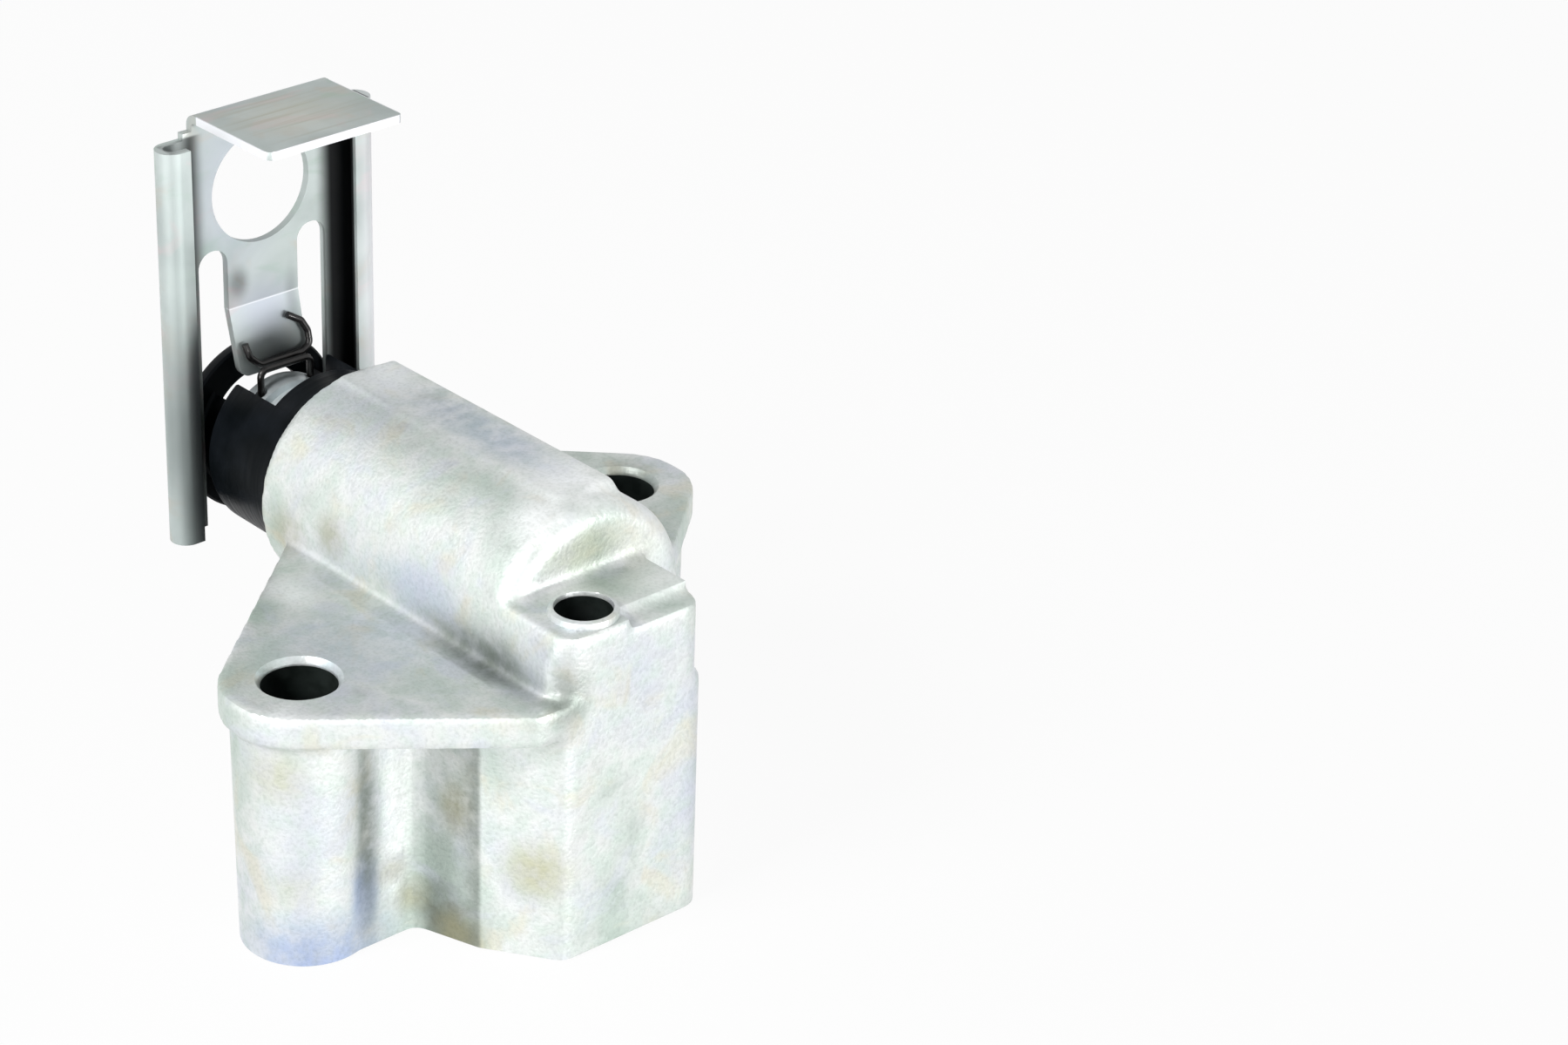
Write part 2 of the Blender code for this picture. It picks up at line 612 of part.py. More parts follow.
def plunger(finish_material, parent):
    """Open steel tube: a neck that the rail's window straddles, a head in front, a notch on top."""
    head_front = HEAD_BACK + HEAD_THICKNESS
    tube = turned("plunger", [
        (HEAD_BORE_RADIUS, head_front),
        (PLUNGER_RADIUS - PLUNGER_CHAMFER, head_front),
        (PLUNGER_RADIUS, head_front - PLUNGER_CHAMFER),
        (PLUNGER_RADIUS, HEAD_BACK),
        (NECK_RADIUS, HEAD_BACK),
        (NECK_RADIUS, PLUNGER_FRONT),
        (PLUNGER_RADIUS - PLUNGER_CHAMFER, PLUNGER_FRONT),
        (PLUNGER_RADIUS, PLUNGER_FRONT - PLUNGER_CHAMFER),
        (PLUNGER_RADIUS, PLUNGER_BACK + PLUNGER_CHAMFER),
        (PLUNGER_RADIUS - PLUNGER_CHAMFER, PLUNGER_BACK),
        (PLUNGER_BORE_RADIUS, PLUNGER_BACK),
        (PLUNGER_BORE_RADIUS, BORE_SHOULDER),
        (NECK_BORE_RADIUS, BORE_SHOULDER),
        (NECK_BORE_RADIUS, PLUG_FRONT + SEAT_GAP),
        (HEAD_BORE_RADIUS, PLUG_FRONT + SEAT_GAP),
        (HEAD_BORE_RADIUS, head_front),
    ], PARTS)
    along_y(tube)
    notch_floor = AXIS_HEIGHT + NOTCH_FLOOR_ABOVE_AXIS
    notch = box("plunger_notch", (-NOTCH_HALF_WIDTH, PLUNGER_FRONT - NOTCH_LENGTH, notch_floor),
                (NOTCH_HALF_WIDTH, HEAD_BACK, AXIS_HEIGHT + PLUNGER_RADIUS + OVERSHOOT))
    combine(tube, notch, 'DIFFERENCE')
    return finish(smooth(tube), finish_material, parent)


def thrust_plug(finish_material, parent):
    """Plug on the bore's shoulder: a collar, a groove and a round-edged nose with two blind holes."""
    profile = [(0.0, PLUG_FRONT)]
    edge_steps = 4
    for step in range(edge_steps + 1):
        angle = math.pi / 2 * step / edge_steps
        inwards = PLUG_EDGE * (1 - math.sin(angle))
        backwards = PLUG_EDGE * (1 - math.cos(angle))
        profile.append((PLUG_NOSE_RADIUS - inwards, PLUG_FRONT - backwards))
    groove_radius = PLUG_NOSE_RADIUS - PLUG_GROOVE_DEPTH
    profile += [
        (PLUG_NOSE_RADIUS, PLUG_COLLAR_FRONT + PLUG_GROOVE_WIDTH),
        (groove_radius, PLUG_COLLAR_FRONT + PLUG_GROOVE_WIDTH),
        (groove_radius, PLUG_COLLAR_FRONT),
        (PLUG_RADIUS, PLUG_COLLAR_FRONT),
        (PLUG_RADIUS, PLUG_BACK),
        (0.0, PLUG_BACK),
    ]
    plug = along_y(turned("thrust_plug", profile, PARTS))
    for side in (-1, 1):
        hole = turned("staple_hole", cylinder_profile(
            WIRE_RADIUS + SEAT_GAP, STAPLE_LEG_ABOVE_AXIS - SEAT_GAP, PLUNGER_RADIUS), steps=TINY_TURN_STEPS)
        hole.location = (side * STAPLE_HALF_WIDTH, PLUG_FRONT - STAPLE_SETBACK, AXIS_HEIGHT)
        combine(plug, hole, 'DIFFERENCE')
    return finish(smooth(plug), finish_material, parent)


def tongue_back(above_axis):
    """Y of the tongue's face towards the housing at a height above the barrel's axis."""
    return WEB_BACK - math.tan(TONGUE_LEAN) * max(TONGUE_BEND_ABOVE_AXIS - above_axis, 0.0)


def curl_outline():
    """Section of the folded sheet: flat web, both sides curled back through half a turn."""
    free_edge = PLUNGER_RADIUS + RAIL_SIDE_CLEARANCE
    centre_x = free_edge + CURL_LIP
    centre_y = WEB_FRONT_FACE - CURL_RADIUS
    inner = CURL_RADIUS - SHEET
    steps = 8
    outer_arc = []
    inner_arc = []
    for step in range(steps + 1):
        angle = math.pi / 2 - math.pi * step / steps
        outer_arc.append((centre_x + CURL_RADIUS * math.cos(angle), centre_y + CURL_RADIUS * math.sin(angle)))
        inner_arc.append((centre_x + inner * math.cos(angle), centre_y + inner * math.sin(angle)))
    right = outer_arc + [(free_edge, centre_y - CURL_RADIUS), (free_edge, centre_y - inner)] + inner_arc[::-1]
    left = [(-x, y) for x, y in right[::-1]]
    return flat(right + left)


def rail(finish_material, parent):
    """One folded sheet: web with curled sides, top lip, round hole, open window and leaning tongue."""
    bottom = AXIS_HEIGHT - RAIL_BELOW_AXIS
    curl_top = AXIS_HEIGHT + CURL_TOP_ABOVE_AXIS
    sheet = slab("rail", curl_outline(), bottom, curl_top, PARTS)
    combine(sheet, rail_shoulder(curl_top), 'UNION')
    combine(sheet, rail_lip(curl_top), 'UNION')
    window_top = AXIS_HEIGHT + WINDOW_TOP_ABOVE_AXIS
    upright = Matrix.Rotation(math.radians(90), 4, 'X')
    window = slab("rail_window", flat([
        (-WINDOW_HALF_WIDTH, bottom - OVERSHOOT),
        (WINDOW_HALF_WIDTH, bottom - OVERSHOOT),
        (WINDOW_HALF_WIDTH, window_top, WINDOW_CORNER),
        (-WINDOW_HALF_WIDTH, window_top, WINDOW_CORNER),
    ]), -WEB_FRONT_FACE - OVERSHOOT, -WEB_BACK + OVERSHOOT, matrix=upright)
    combine(sheet, window, 'DIFFERENCE')
    hole = turned("rail_hole", cylinder_profile(
        RAIL_HOLE_RADIUS, WEB_BACK - OVERSHOOT, WEB_FRONT_FACE + OVERSHOOT), steps=RAIL_HOLE_STEPS)
    along_y(hole, z=AXIS_HEIGHT + RAIL_HOLE_ABOVE_AXIS)
    combine(sheet, rail_tongue(window_top), 'UNION')
    combine(sheet, hole, 'DIFFERENCE')
    return finish(sheet, finish_material, parent)


def rail_shoulder(curl_top):
    """Flat of the web above the curled sides."""
    return box("rail_shoulder", (-SHOULDER_HALF_WIDTH, WEB_BACK, curl_top - OVERSHOOT),
               (SHOULDER_HALF_WIDTH, WEB_FRONT_FACE, AXIS_HEIGHT + SHOULDER_TOP_ABOVE_AXIS))


def rail_lip(curl_top):
    """Lip folded back over the barrel, its free corners rounded."""
    top = AXIS_HEIGHT + LIP_TOP_ABOVE_AXIS
    back = WEB_FRONT_FACE - LIP_LENGTH
    inner = FOLD_RADIUS - SHEET
    side_view = flat([
        (WEB_BACK, curl_top - OVERSHOOT),
        (WEB_FRONT_FACE, curl_top - OVERSHOOT),
        (WEB_FRONT_FACE, top, FOLD_RADIUS),
        (back, top),
        (back, top - SHEET),
        (WEB_BACK, top - SHEET, inner),
    ])
    turn = Matrix(((0, 0, 1, 0), (1, 0, 0, 0), (0, 1, 0, 0), (0, 0, 0, 1)))
    lip = slab("rail_lip", side_view, -LIP_HALF_WIDTH, LIP_HALF_WIDTH, matrix=turn)
    trim = slab("rail_lip_trim", flat([
        (-LIP_HALF_WIDTH, WEB_FRONT_FACE + OVERSHOOT),
        (-LIP_HALF_WIDTH, back, LIP_CORNER),
        (LIP_HALF_WIDTH, back, LIP_CORNER),
        (LIP_HALF_WIDTH, WEB_FRONT_FACE + OVERSHOOT),
    ]), curl_top - 2 * OVERSHOOT, top + OVERSHOOT)
    combine(lip, trim, 'INTERSECT')
    return lip


def rail_tongue(window_top):
    """Tongue that hangs in the window and leans back into the plunger's notch."""
    bend = AXIS_HEIGHT + TONGUE_BEND_ABOVE_AXIS
    tip = AXIS_HEIGHT + TONGUE_TIP_ABOVE_AXIS
    lean = math.tan(TONGUE_LEAN) * (bend - tip)
    side_view = flat([
        (WEB_FRONT_FACE, window_top + OVERSHOOT / 2),
        (WEB_BACK, window_top + OVERSHOOT / 2),
        (WEB_BACK, bend, SHEET),
        (WEB_BACK - lean, tip),
        (WEB_FRONT_FACE - lean, tip),
        (WEB_FRONT_FACE, bend, 2 * SHEET),
    ])
    turn = Matrix(((0, 0, 1, 0), (1, 0, 0, 0), (0, 1, 0, 0), (0, 0, 0, 1)))
    reach = TONGUE_HALF_WIDTH + OVERSHOOT
    tongue = slab("rail_tongue", side_view, -reach, reach, matrix=turn)
    upright = Matrix.Rotation(math.radians(90), 4, 'X')
    trim = slab("rail_tongue_trim", flat([
        (-TONGUE_HALF_WIDTH, window_top + OVERSHOOT),
        (-TONGUE_HALF_WIDTH, bend),
        (-TONGUE_TIP_HALF_WIDTH, tip, TONGUE_CORNER),
        (TONGUE_TIP_HALF_WIDTH, tip, TONGUE_CORNER),
        (TONGUE_HALF_WIDTH, bend),
        (TONGUE_HALF_WIDTH, window_top + OVERSHOOT),
    ]), -WEB_FRONT_FACE - OVERSHOOT, -WEB_BACK + lean + OVERSHOOT, matrix=upright)
    combine(tongue, trim, 'INTERSECT')
    return tongue


def retaining_clip(finish_material, parent):
    """Spring wire that lies along the tongue's back and hooks over it at the right."""
    def spot(x, above_axis):
        return (x, tongue_back(above_axis) - SEAT_GAP - WIRE_RADIUS, AXIS_HEIGHT + above_axis)

    clip = wire("retaining_clip", [
        (spot(CLIP_LEFT, CLIP_LEFT_END_ABOVE_AXIS), 0.0),
        (spot(CLIP_LEFT + WIRE_BEND, CLIP_BAR_ABOVE_AXIS), WIRE_BEND),
        (spot(CLIP_RIGHT, CLIP_BAR_ABOVE_AXIS), WIRE_BEND),
        (spot(CLIP_RIGHT, CLIP_RIGHT_TOP_ABOVE_AXIS), WIRE_BEND),
        (spot(CLIP_HOOK_X, CLIP_HOOK_ABOVE_AXIS), 0.0),
    ], WIRE_RADIUS, PARTS)
    return finish(smooth(clip), finish_material, parent)


def retaining_staple(finish_material, parent):
    """Wire staple whose legs go down through the notch into the plug."""
    y = PLUG_FRONT - STAPLE_SETBACK
    low = AXIS_HEIGHT + STAPLE_LEG_ABOVE_AXIS
    high = AXIS_HEIGHT + STAPLE_BAR_ABOVE_AXIS
    staple = wire("retaining_staple", [
        ((-STAPLE_HALF_WIDTH, y, low), 0.0),
        ((-STAPLE_HALF_WIDTH, y, high), WIRE_BEND),
        ((STAPLE_HALF_WIDTH, y, high), WIRE_BEND),
        ((STAPLE_HALF_WIDTH, y, low), 0.0),
    ], WIRE_RADIUS, PARTS)
    return finish(smooth(staple), finish_material, parent)


def valve_seat(finish_material):
    """Turned disc at the bottom of the bore with the valve's hole."""
    chamfer = SEAT_GAP
    disc = turned("valve_seat", [
        (SEAT_HOLE_RADIUS, SEAT_DISC_FRONT),
        (BORE_RADIUS - SEAT_GAP - chamfer, SEAT_DISC_FRONT),
        (BORE_RADIUS - SEAT_GAP, SEAT_DISC_FRONT - chamfer),
        (BORE_RADIUS - SEAT_GAP, SEAT_DISC_BACK),
        (SEAT_HOLE_RADIUS, SEAT_DISC_BACK),
        (SEAT_HOLE_RADIUS, SEAT_DISC_FRONT),
    ], PARTS)
    return finish(smooth(along_y(disc)), finish_material)


def ball_seated_on(radius, hole_radius):
    """Height of a ball's centre over the edge of the hole that it sits on."""
    return math.sqrt(radius ** 2 - hole_radius ** 2) + CHECK_BALL_GAP


def ball(name, radius, centre, finish_material, parent=None):
    mesh = bpy.data.meshes.new(name)
    shape = bmesh.new()
    bmesh.ops.create_uvsphere(shape, u_segments=24, v_segments=16, radius=radius)
    shape.to_mesh(mesh)
    shape.free()
    item = place(name, mesh, PARTS)
    item.location = centre
    item.data.shade_smooth()
    return finish(item, finish_material, parent)


def ball_cage(finish_material):
    """Pressed cup with a flange and oil slots, which keeps the ball over its seat."""
    flange_front = CAGE_BACK + CAGE_SHEET
    end = CAGE_BACK + CAGE_LENGTH
    cup_inside = CAGE_CUP_RADIUS - CAGE_SHEET
    cage = turned("ball_cage", [
        (CAGE_END_HOLE_RADIUS, end),
        (CAGE_CUP_RADIUS - CAGE_SHEET / 2, end),
        (CAGE_CUP_RADIUS, end - CAGE_SHEET / 2),
        (CAGE_CUP_RADIUS, flange_front),
        (CAGE_FLANGE_RADIUS, flange_front),
        (CAGE_FLANGE_RADIUS, CAGE_BACK),
        (cup_inside, CAGE_BACK),
        (cup_inside, end - CAGE_SHEET),
        (CAGE_END_HOLE_RADIUS, end - CAGE_SHEET),
        (CAGE_END_HOLE_RADIUS, end),
    ], PARTS, steps=SMALL_TURN_STEPS)
    along_y(cage)
    for index in range(CAGE_SLOTS):
        slot = turned("cage_slot", cylinder_profile(
            CAGE_SLOT_RADIUS, cup_inside - OVERSHOOT / 2, CAGE_CUP_RADIUS + OVERSHOOT), steps=TINY_TURN_STEPS)
        slot.location = (0, (flange_front + end) / 2, AXIS_HEIGHT)
        slot.rotation_euler = (0, 2 * math.pi * index / CAGE_SLOTS, 0)
        combine(cage, slot, 'DIFFERENCE')
    return finish(smooth(cage), finish_material)


def build():
    clear_scene()
    collection(PARTS)
    collection(CUTTERS)
    cast_alloy = material("cast_alloy", (0.66, 0.68, 0.66), 0.75, 0.50)
    black_steel = material("black_steel", (0.030, 0.034, 0.045), 0.80, 0.38)
    plug_steel = material("plug_steel", (0.42, 0.47, 0.49), 1.00, 0.35)
    sheet_steel = material("sheet_steel", (0.62, 0.66, 0.65), 1.00, 0.28)
    spring_wire = material("spring_wire", (0.050, 0.042, 0.034), 0.90, 0.35)
    valve_steel = material("valve_steel", (0.55, 0.56, 0.58), 1.00, 0.25)

    plunger_axis = bpy.data.objects.new("plunger_axis", None)
    plunger_axis.location = (0, 0, AXIS_HEIGHT)
    bpy.data.collections[PARTS].objects.link(plunger_axis)

    housing(cast_alloy)
    plunger(black_steel, plunger_axis)
    thrust_plug(plug_steel, plunger_axis)
    rail(sheet_steel, plunger_axis)
    retaining_clip(spring_wire, plunger_axis)
    retaining_staple(spring_wire, plunger_axis)

    gallery_ball_height = GALLERY_STEP_HEIGHT + ball_seated_on(GALLERY_BALL_RADIUS, GALLERY_RADIUS)
    ball("gallery_ball", GALLERY_BALL_RADIUS, (GALLERY_X, GALLERY_Y, gallery_ball_height), valve_steel)
    valve_seat(valve_steel)
    ball_cage(sheet_steel)
    check_ball_y = SEAT_DISC_FRONT + ball_seated_on(CHECK_BALL_RADIUS, SEAT_HOLE_RADIUS)
    ball("check_ball", CHECK_BALL_RADIUS, (0, check_ball_y, AXIS_HEIGHT), valve_steel)

    spring_back = CAGE_BACK + CAGE_SHEET + SEAT_GAP
    spring = coil("plunger_spring", SPRING_MEAN_RADIUS, SPRING_WIRE_RADIUS, spring_back,
                  PLUG_BACK - SEAT_GAP, SPRING_TURNS, PARTS)
    finish(smooth(spring), spring_wire)
    ball_rest = check_ball_y + math.sqrt(CHECK_BALL_RADIUS ** 2 - CHECK_SPRING_RADIUS ** 2)
    cage_end = CAGE_BACK + CAGE_LENGTH - CAGE_SHEET
    check_spring = coil("check_spring", CHECK_SPRING_RADIUS, CHECK_SPRING_WIRE, ball_rest + SEAT_GAP,
                        cage_end - SEAT_GAP, CHECK_SPRING_TURNS, PARTS)
    finish(smooth(check_spring), spring_wire)


build()
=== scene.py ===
import math

import bmesh
import bpy
from mathutils import Matrix, Vector


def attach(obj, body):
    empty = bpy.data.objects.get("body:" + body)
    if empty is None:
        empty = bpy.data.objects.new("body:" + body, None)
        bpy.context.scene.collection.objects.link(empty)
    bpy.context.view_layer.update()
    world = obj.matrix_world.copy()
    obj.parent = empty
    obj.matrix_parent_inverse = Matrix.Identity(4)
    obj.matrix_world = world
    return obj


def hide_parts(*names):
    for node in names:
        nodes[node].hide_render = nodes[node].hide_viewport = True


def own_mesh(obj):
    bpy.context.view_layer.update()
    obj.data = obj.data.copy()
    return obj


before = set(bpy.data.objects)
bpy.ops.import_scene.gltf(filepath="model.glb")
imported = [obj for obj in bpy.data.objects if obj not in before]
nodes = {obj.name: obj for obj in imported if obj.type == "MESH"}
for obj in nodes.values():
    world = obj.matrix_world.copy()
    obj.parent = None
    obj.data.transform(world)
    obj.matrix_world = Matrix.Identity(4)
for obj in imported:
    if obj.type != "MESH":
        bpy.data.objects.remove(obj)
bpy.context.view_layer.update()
mm = 0.001
# the plunger's axis lies this high above the mounting face, in millimetres
axisHeight = 34.4
mergeWithin = 0.002 * mm

print("frame loaded")


# selection and small jobs

def clearSelection():
    if bpy.context.mode != 'OBJECT':
        bpy.ops.object.mode_set(mode='OBJECT')
    bpy.ops.object.select_all(action='DESELECT')


def pick(ob):
    clearSelection()
    ob.select_set(True)
    bpy.context.view_layer.objects.active = ob


def named(name):
    ob = bpy.context.active_object
    ob.name = name
    ob.data.name = name
    return ob


def settle(ob):
    pick(ob)
    bpy.ops.object.transform_apply(location=True, rotation=True, scale=True)
    return ob


def applyModifier(ob, mod):
    pick(ob)
    bpy.ops.object.modifier_apply(modifier=mod.name)


def combine(ob, tool, operation='DIFFERENCE'):
    mod = ob.modifiers.new("combine", 'BOOLEAN')
    mod.operation = operation
    mod.solver = 'EXACT'
    mod.object = tool
    applyModifier(ob, mod)
    bpy.data.objects.remove(tool, do_unlink=True)
    return ob


def joinUp(pieces):
    clearSelection()
    for ob in pieces:
        ob.select_set(True)
    bpy.context.view_layer.objects.active = pieces[0]
    bpy.ops.object.join()
    return pieces[0]


def facesOut(ob):
    pick(ob)
    bpy.ops.object.mode_set(mode='EDIT')
    bpy.ops.mesh.select_all(action='SELECT')
    bpy.ops.mesh.remove_doubles(threshold=mergeWithin)
    bpy.ops.mesh.normals_make_consistent(inside=False)
    bpy.ops.object.mode_set(mode='OBJECT')
    return ob


def bevelEdges(ob, width, angle):
    # rounds edges sharper than the angle, in degrees, by the width, in millimetres
    mod = ob.modifiers.new("bevel", 'BEVEL')
    mod.width = width * mm
    mod.segments = 2
    mod.limit_method = 'ANGLE'
    mod.angle_limit = math.radians(angle)
    mod.use_clamp_overlap = True
    applyModifier(ob, mod)


def smoothShade(ob, angle):
    # edges sharper than the angle, in degrees, stay crisp
    pick(ob)
    bpy.ops.object.shade_smooth_by_angle(angle=math.radians(angle))
    return ob


def rounded(points, steps=8):
    # a point is (across, up) or (across, up, corner radius), in millimetres
    path = []
    count = len(points)
    for index, point in enumerate(points):
        here = Vector(point[:2])
        if len(point) < 3 or not point[2]:
            path.append(here * mm)
            continue
        before = (Vector(points[index - 1][:2]) - here).normalized()
        after = (Vector(points[(index + 1) % count][:2]) - here).normalized()
        half = before.angle(after) / 2
        centre = here + (before + after).normalized() * (point[2] / math.sin(half))
        start = (here + before * (point[2] / math.tan(half)) - centre).normalized()
        end = (here + after * (point[2] / math.tan(half)) - centre).normalized()
        turn = start.angle_signed(end)
        for step in range(steps + 1):
            spoke = start.copy()
            spoke.rotate(Matrix.Rotation(-turn * step / steps, 2))
            path.append((centre + spoke * point[2]) * mm)
    return path


def outlineSolid(name, path, low, high, along='Z'):
    # a filled circle whose points are moved onto the outline, then extruded
    clearSelection()
    bpy.ops.mesh.primitive_circle_add(vertices=len(path), radius=mm, fill_type='NGON')
    ob = named(name)
    lay = {'Z': lambda a, b: (a, b, low * mm), 'Y': lambda a, b: (a, low * mm, b),
           'X': lambda a, b: (low * mm, a, b)}[along]
    for vert, spot in zip(ob.data.vertices, path):
        vert.co = lay(spot[0], spot[1])
    reach = (high - low) * mm
    step = {'Z': (0, 0, reach), 'Y': (0, reach, 0), 'X': (reach, 0, 0)}[along]
    bpy.ops.object.mode_set(mode='EDIT')
    bpy.ops.mesh.select_all(action='SELECT')
    bpy.ops.mesh.extrude_region_move(TRANSFORM_OT_translate={"value": step})
    bpy.ops.mesh.select_all(action='SELECT')
    bpy.ops.mesh.normals_make_consistent(inside=False)
    bpy.ops.object.mode_set(mode='OBJECT')
    return ob


def roundBar(name, radius, low, high, place, along='Z', steps=64, topRadius=None):
    # a bar from low to high along an axis through place, in millimetres
    clearSelection()
    turn = {'Z': (0, 0, 0), 'Y': (math.radians(-90), 0, 0)}[along]
    middle = (low + high) / 2
    spot = {'Z': (place[0], place[1], middle), 'Y': (place[0], middle, place[1])}[along]
    bpy.ops.mesh.primitive_cone_add(vertices=steps, radius1=radius * mm, radius2=(topRadius or radius) * mm,
                                    depth=(high - low) * mm, location=Vector(spot) * mm, rotation=turn)
    return settle(named(name))


def trim(ob, place, normal):
    # cuts away what lies on the side that the normal points to
    pick(ob)
    bpy.ops.object.mode_set(mode='EDIT')
    bpy.ops.mesh.select_all(action='SELECT')
    bpy.ops.mesh.bisect(plane_co=Vector(place) * mm, plane_no=normal, use_fill=True, clear_outer=True)
    bpy.ops.object.mode_set(mode='OBJECT')


def turnedPiece(name, profile, along='Y', place=(0, axisHeight), steps=96):
    # a line of (radius, height) points spun round its axis, open where the radius is zero
    clearSelection()
    bpy.ops.mesh.primitive_circle_add(vertices=len(profile), radius=mm, fill_type='NOTHING')
    ob = named(name)
    for vert, (radius, height) in zip(ob.data.vertices, profile):
        vert.co = Vector((radius, 0, height)) * mm
    bpy.ops.object.mode_set(mode='EDIT')
    work = bmesh.from_edit_mesh(ob.data)
    work.edges.ensure_lookup_table()
    if profile[0][0] == 0 and profile[-1][0] == 0:
        for edge in [e for e in work.edges if abs(e.verts[0].co.x) + abs(e.verts[1].co.x) == 0]:
            work.edges.remove(edge)
    bmesh.update_edit_mesh(ob.data)
    bpy.ops.mesh.select_all(action='SELECT')
    bpy.ops.mesh.spin(steps=steps, angle=math.radians(360), center=(0, 0, 0), axis=(0, 0, 1))
    bpy.ops.mesh.select_all(action='SELECT')
    bpy.ops.mesh.remove_doubles(threshold=mergeWithin)
    bpy.ops.mesh.normals_make_consistent(inside=False)
    bpy.ops.object.mode_set(mode='OBJECT')
    if along == 'Y':
        ob.rotation_euler = (math.radians(-90), 0, 0)
        ob.location = Vector((place[0], 0, place[1])) * mm
    else:
        ob.location = Vector((place[0], place[1], 0)) * mm
    return settle(ob)


# materials

def startMaterial(name, colour, metallic, roughness):
    mat = bpy.data.materials.new(name)
    mat.use_nodes = True
    shader = mat.node_tree.nodes["Principled BSDF"]
    shader.inputs["Base Color"].default_value = (*colour, 1)
    shader.inputs["Metallic"].default_value = metallic
    shader.inputs["Roughness"].default_value = roughness
    coords = mat.node_tree.nodes.new('ShaderNodeTexCoord')
    return mat, shader, coords.outputs["Object"]


def noiseOn(mat, coords, scale, detail, stretch=None, distortion=0.0):
    tree = mat.node_tree
    if stretch:
        mapping = tree.nodes.new('ShaderNodeMapping')
        mapping.inputs["Scale"].default_value = stretch
        tree.links.new(coords, mapping.inputs["Vector"])
        coords = mapping.outputs["Vector"]
    noise = tree.nodes.new('ShaderNodeTexNoise')
    noise.inputs["Scale"].default_value = scale
    noise.inputs["Detail"].default_value = detail
    noise.inputs["Distortion"].default_value = distortion
    tree.links.new(coords, noise.inputs["Vector"])
    return noise.outputs["Fac"]


def rampOn(mat, value, stops):
    ramp = mat.node_tree.nodes.new('ShaderNodeValToRGB')
    while len(ramp.color_ramp.elements) < len(stops):
        ramp.color_ramp.elements.new(0.5)
    for element, (place, colour) in zip(ramp.color_ramp.elements, stops):
        element.position = place
        element.color = (*colour, 1)
    mat.node_tree.links.new(value, ramp.inputs["Fac"])
    return ramp.outputs["Color"]


def rangeOn(mat, value, low, high, toLow, toHigh):
    step = mat.node_tree.nodes.new('ShaderNodeMapRange')
    step.interpolation_type = 'SMOOTHSTEP'
    for socket, number in (("From Min", low), ("From Max", high), ("To Min", toLow), ("To Max", toHigh)):
        step.inputs[socket].default_value = number
    mat.node_tree.links.new(value, step.inputs["Value"])
    return step.outputs["Result"]


def mixOn(mat, factor, first, second, blend='MIX'):
    mix = mat.node_tree.nodes.new('ShaderNodeMix')
    mix.data_type = 'RGBA'
    mix.blend_type = blend
    tree = mat.node_tree
    for socket, value in ((mix.inputs["Factor"], factor), (mix.inputs[6], first), (mix.inputs[7], second)):
        if isinstance(value, bpy.types.NodeSocket):
            tree.links.new(value, socket)
        elif socket.type == 'RGBA':
            socket.default_value = (*value, 1)
        else:
            socket.default_value = value
    return mix.outputs[2]


def bumpOn(mat, shader, height, strength, depth, before=None):
    # depth is in millimetres; before is another bump that this one adds to
    bump = mat.node_tree.nodes.new('ShaderNodeBump')
    bump.inputs["Strength"].default_value = strength
    bump.inputs["Distance"].default_value = depth * mm
    mat.node_tree.links.new(height, bump.inputs["Height"])
    if before:
        mat.node_tree.links.new(before, bump.inputs["Normal"])
    mat.node_tree.links.new(bump.outputs["Normal"], shader.inputs["Normal"])
    return bump.outputs["Normal"]


def nearOn(mat, coords, spot, reach):
    # 1 at a spot, falling to 0 at reach from it along x, y and z, all in millimetres
    tree = mat.node_tree
    for operation, vector in (('SUBTRACT', Vector(spot) * mm), ('DIVIDE', Vector(reach) * mm)):
        step = tree.nodes.new('ShaderNodeVectorMath')
        step.operation = operation
        step.inputs[1].default_value = vector
        tree.links.new(coords, step.inputs[0])
        coords = step.outputs["Vector"]
    away = tree.nodes.new('ShaderNodeVectorMath')
    away.operation = 'LENGTH'
    tree.links.new(coords, away.inputs[0])
    return rangeOn(mat, away.outputs["Value"], 0.1, 1, 1, 0)


def timesOn(mat, first, second):
    times = mat.node_tree.nodes.new('ShaderNodeMath')
    times.operation = 'MULTIPLY'
    for socket, value in zip(times.inputs, (first, second)):
        if isinstance(value, bpy.types.NodeSocket):
            mat.node_tree.links.new(value, socket)
        else:
            socket.default_value = value
    return times.outputs[0]


def rangeBox(mat, coords, low, high, soft):
    # 1 inside a box from low to high, given for |x|, y and z in millimetres; soft is how far each side fades
    tree = mat.node_tree
    split = tree.nodes.new('ShaderNodeSeparateXYZ')
    tree.links.new(coords, split.inputs[0])
    across = tree.nodes.new('ShaderNodeMath')
    across.operation = 'ABSOLUTE'
    tree.links.new(split.outputs["X"], across.inputs[0])
    inside = None
    places = (across.outputs[0], split.outputs["Y"], split.outputs["Z"])
    for value, bottom, top, fade in zip(places, low, high, soft):
        for edge, first, second, reach in ((bottom, 0, 1, fade[0]), (top, 1, 0, fade[1])):
            share = rangeOn(mat, value, (edge - reach) * mm, (edge + reach) * mm, first, second)
            inside = timesOn(mat, inside, share) if inside else share
    return inside


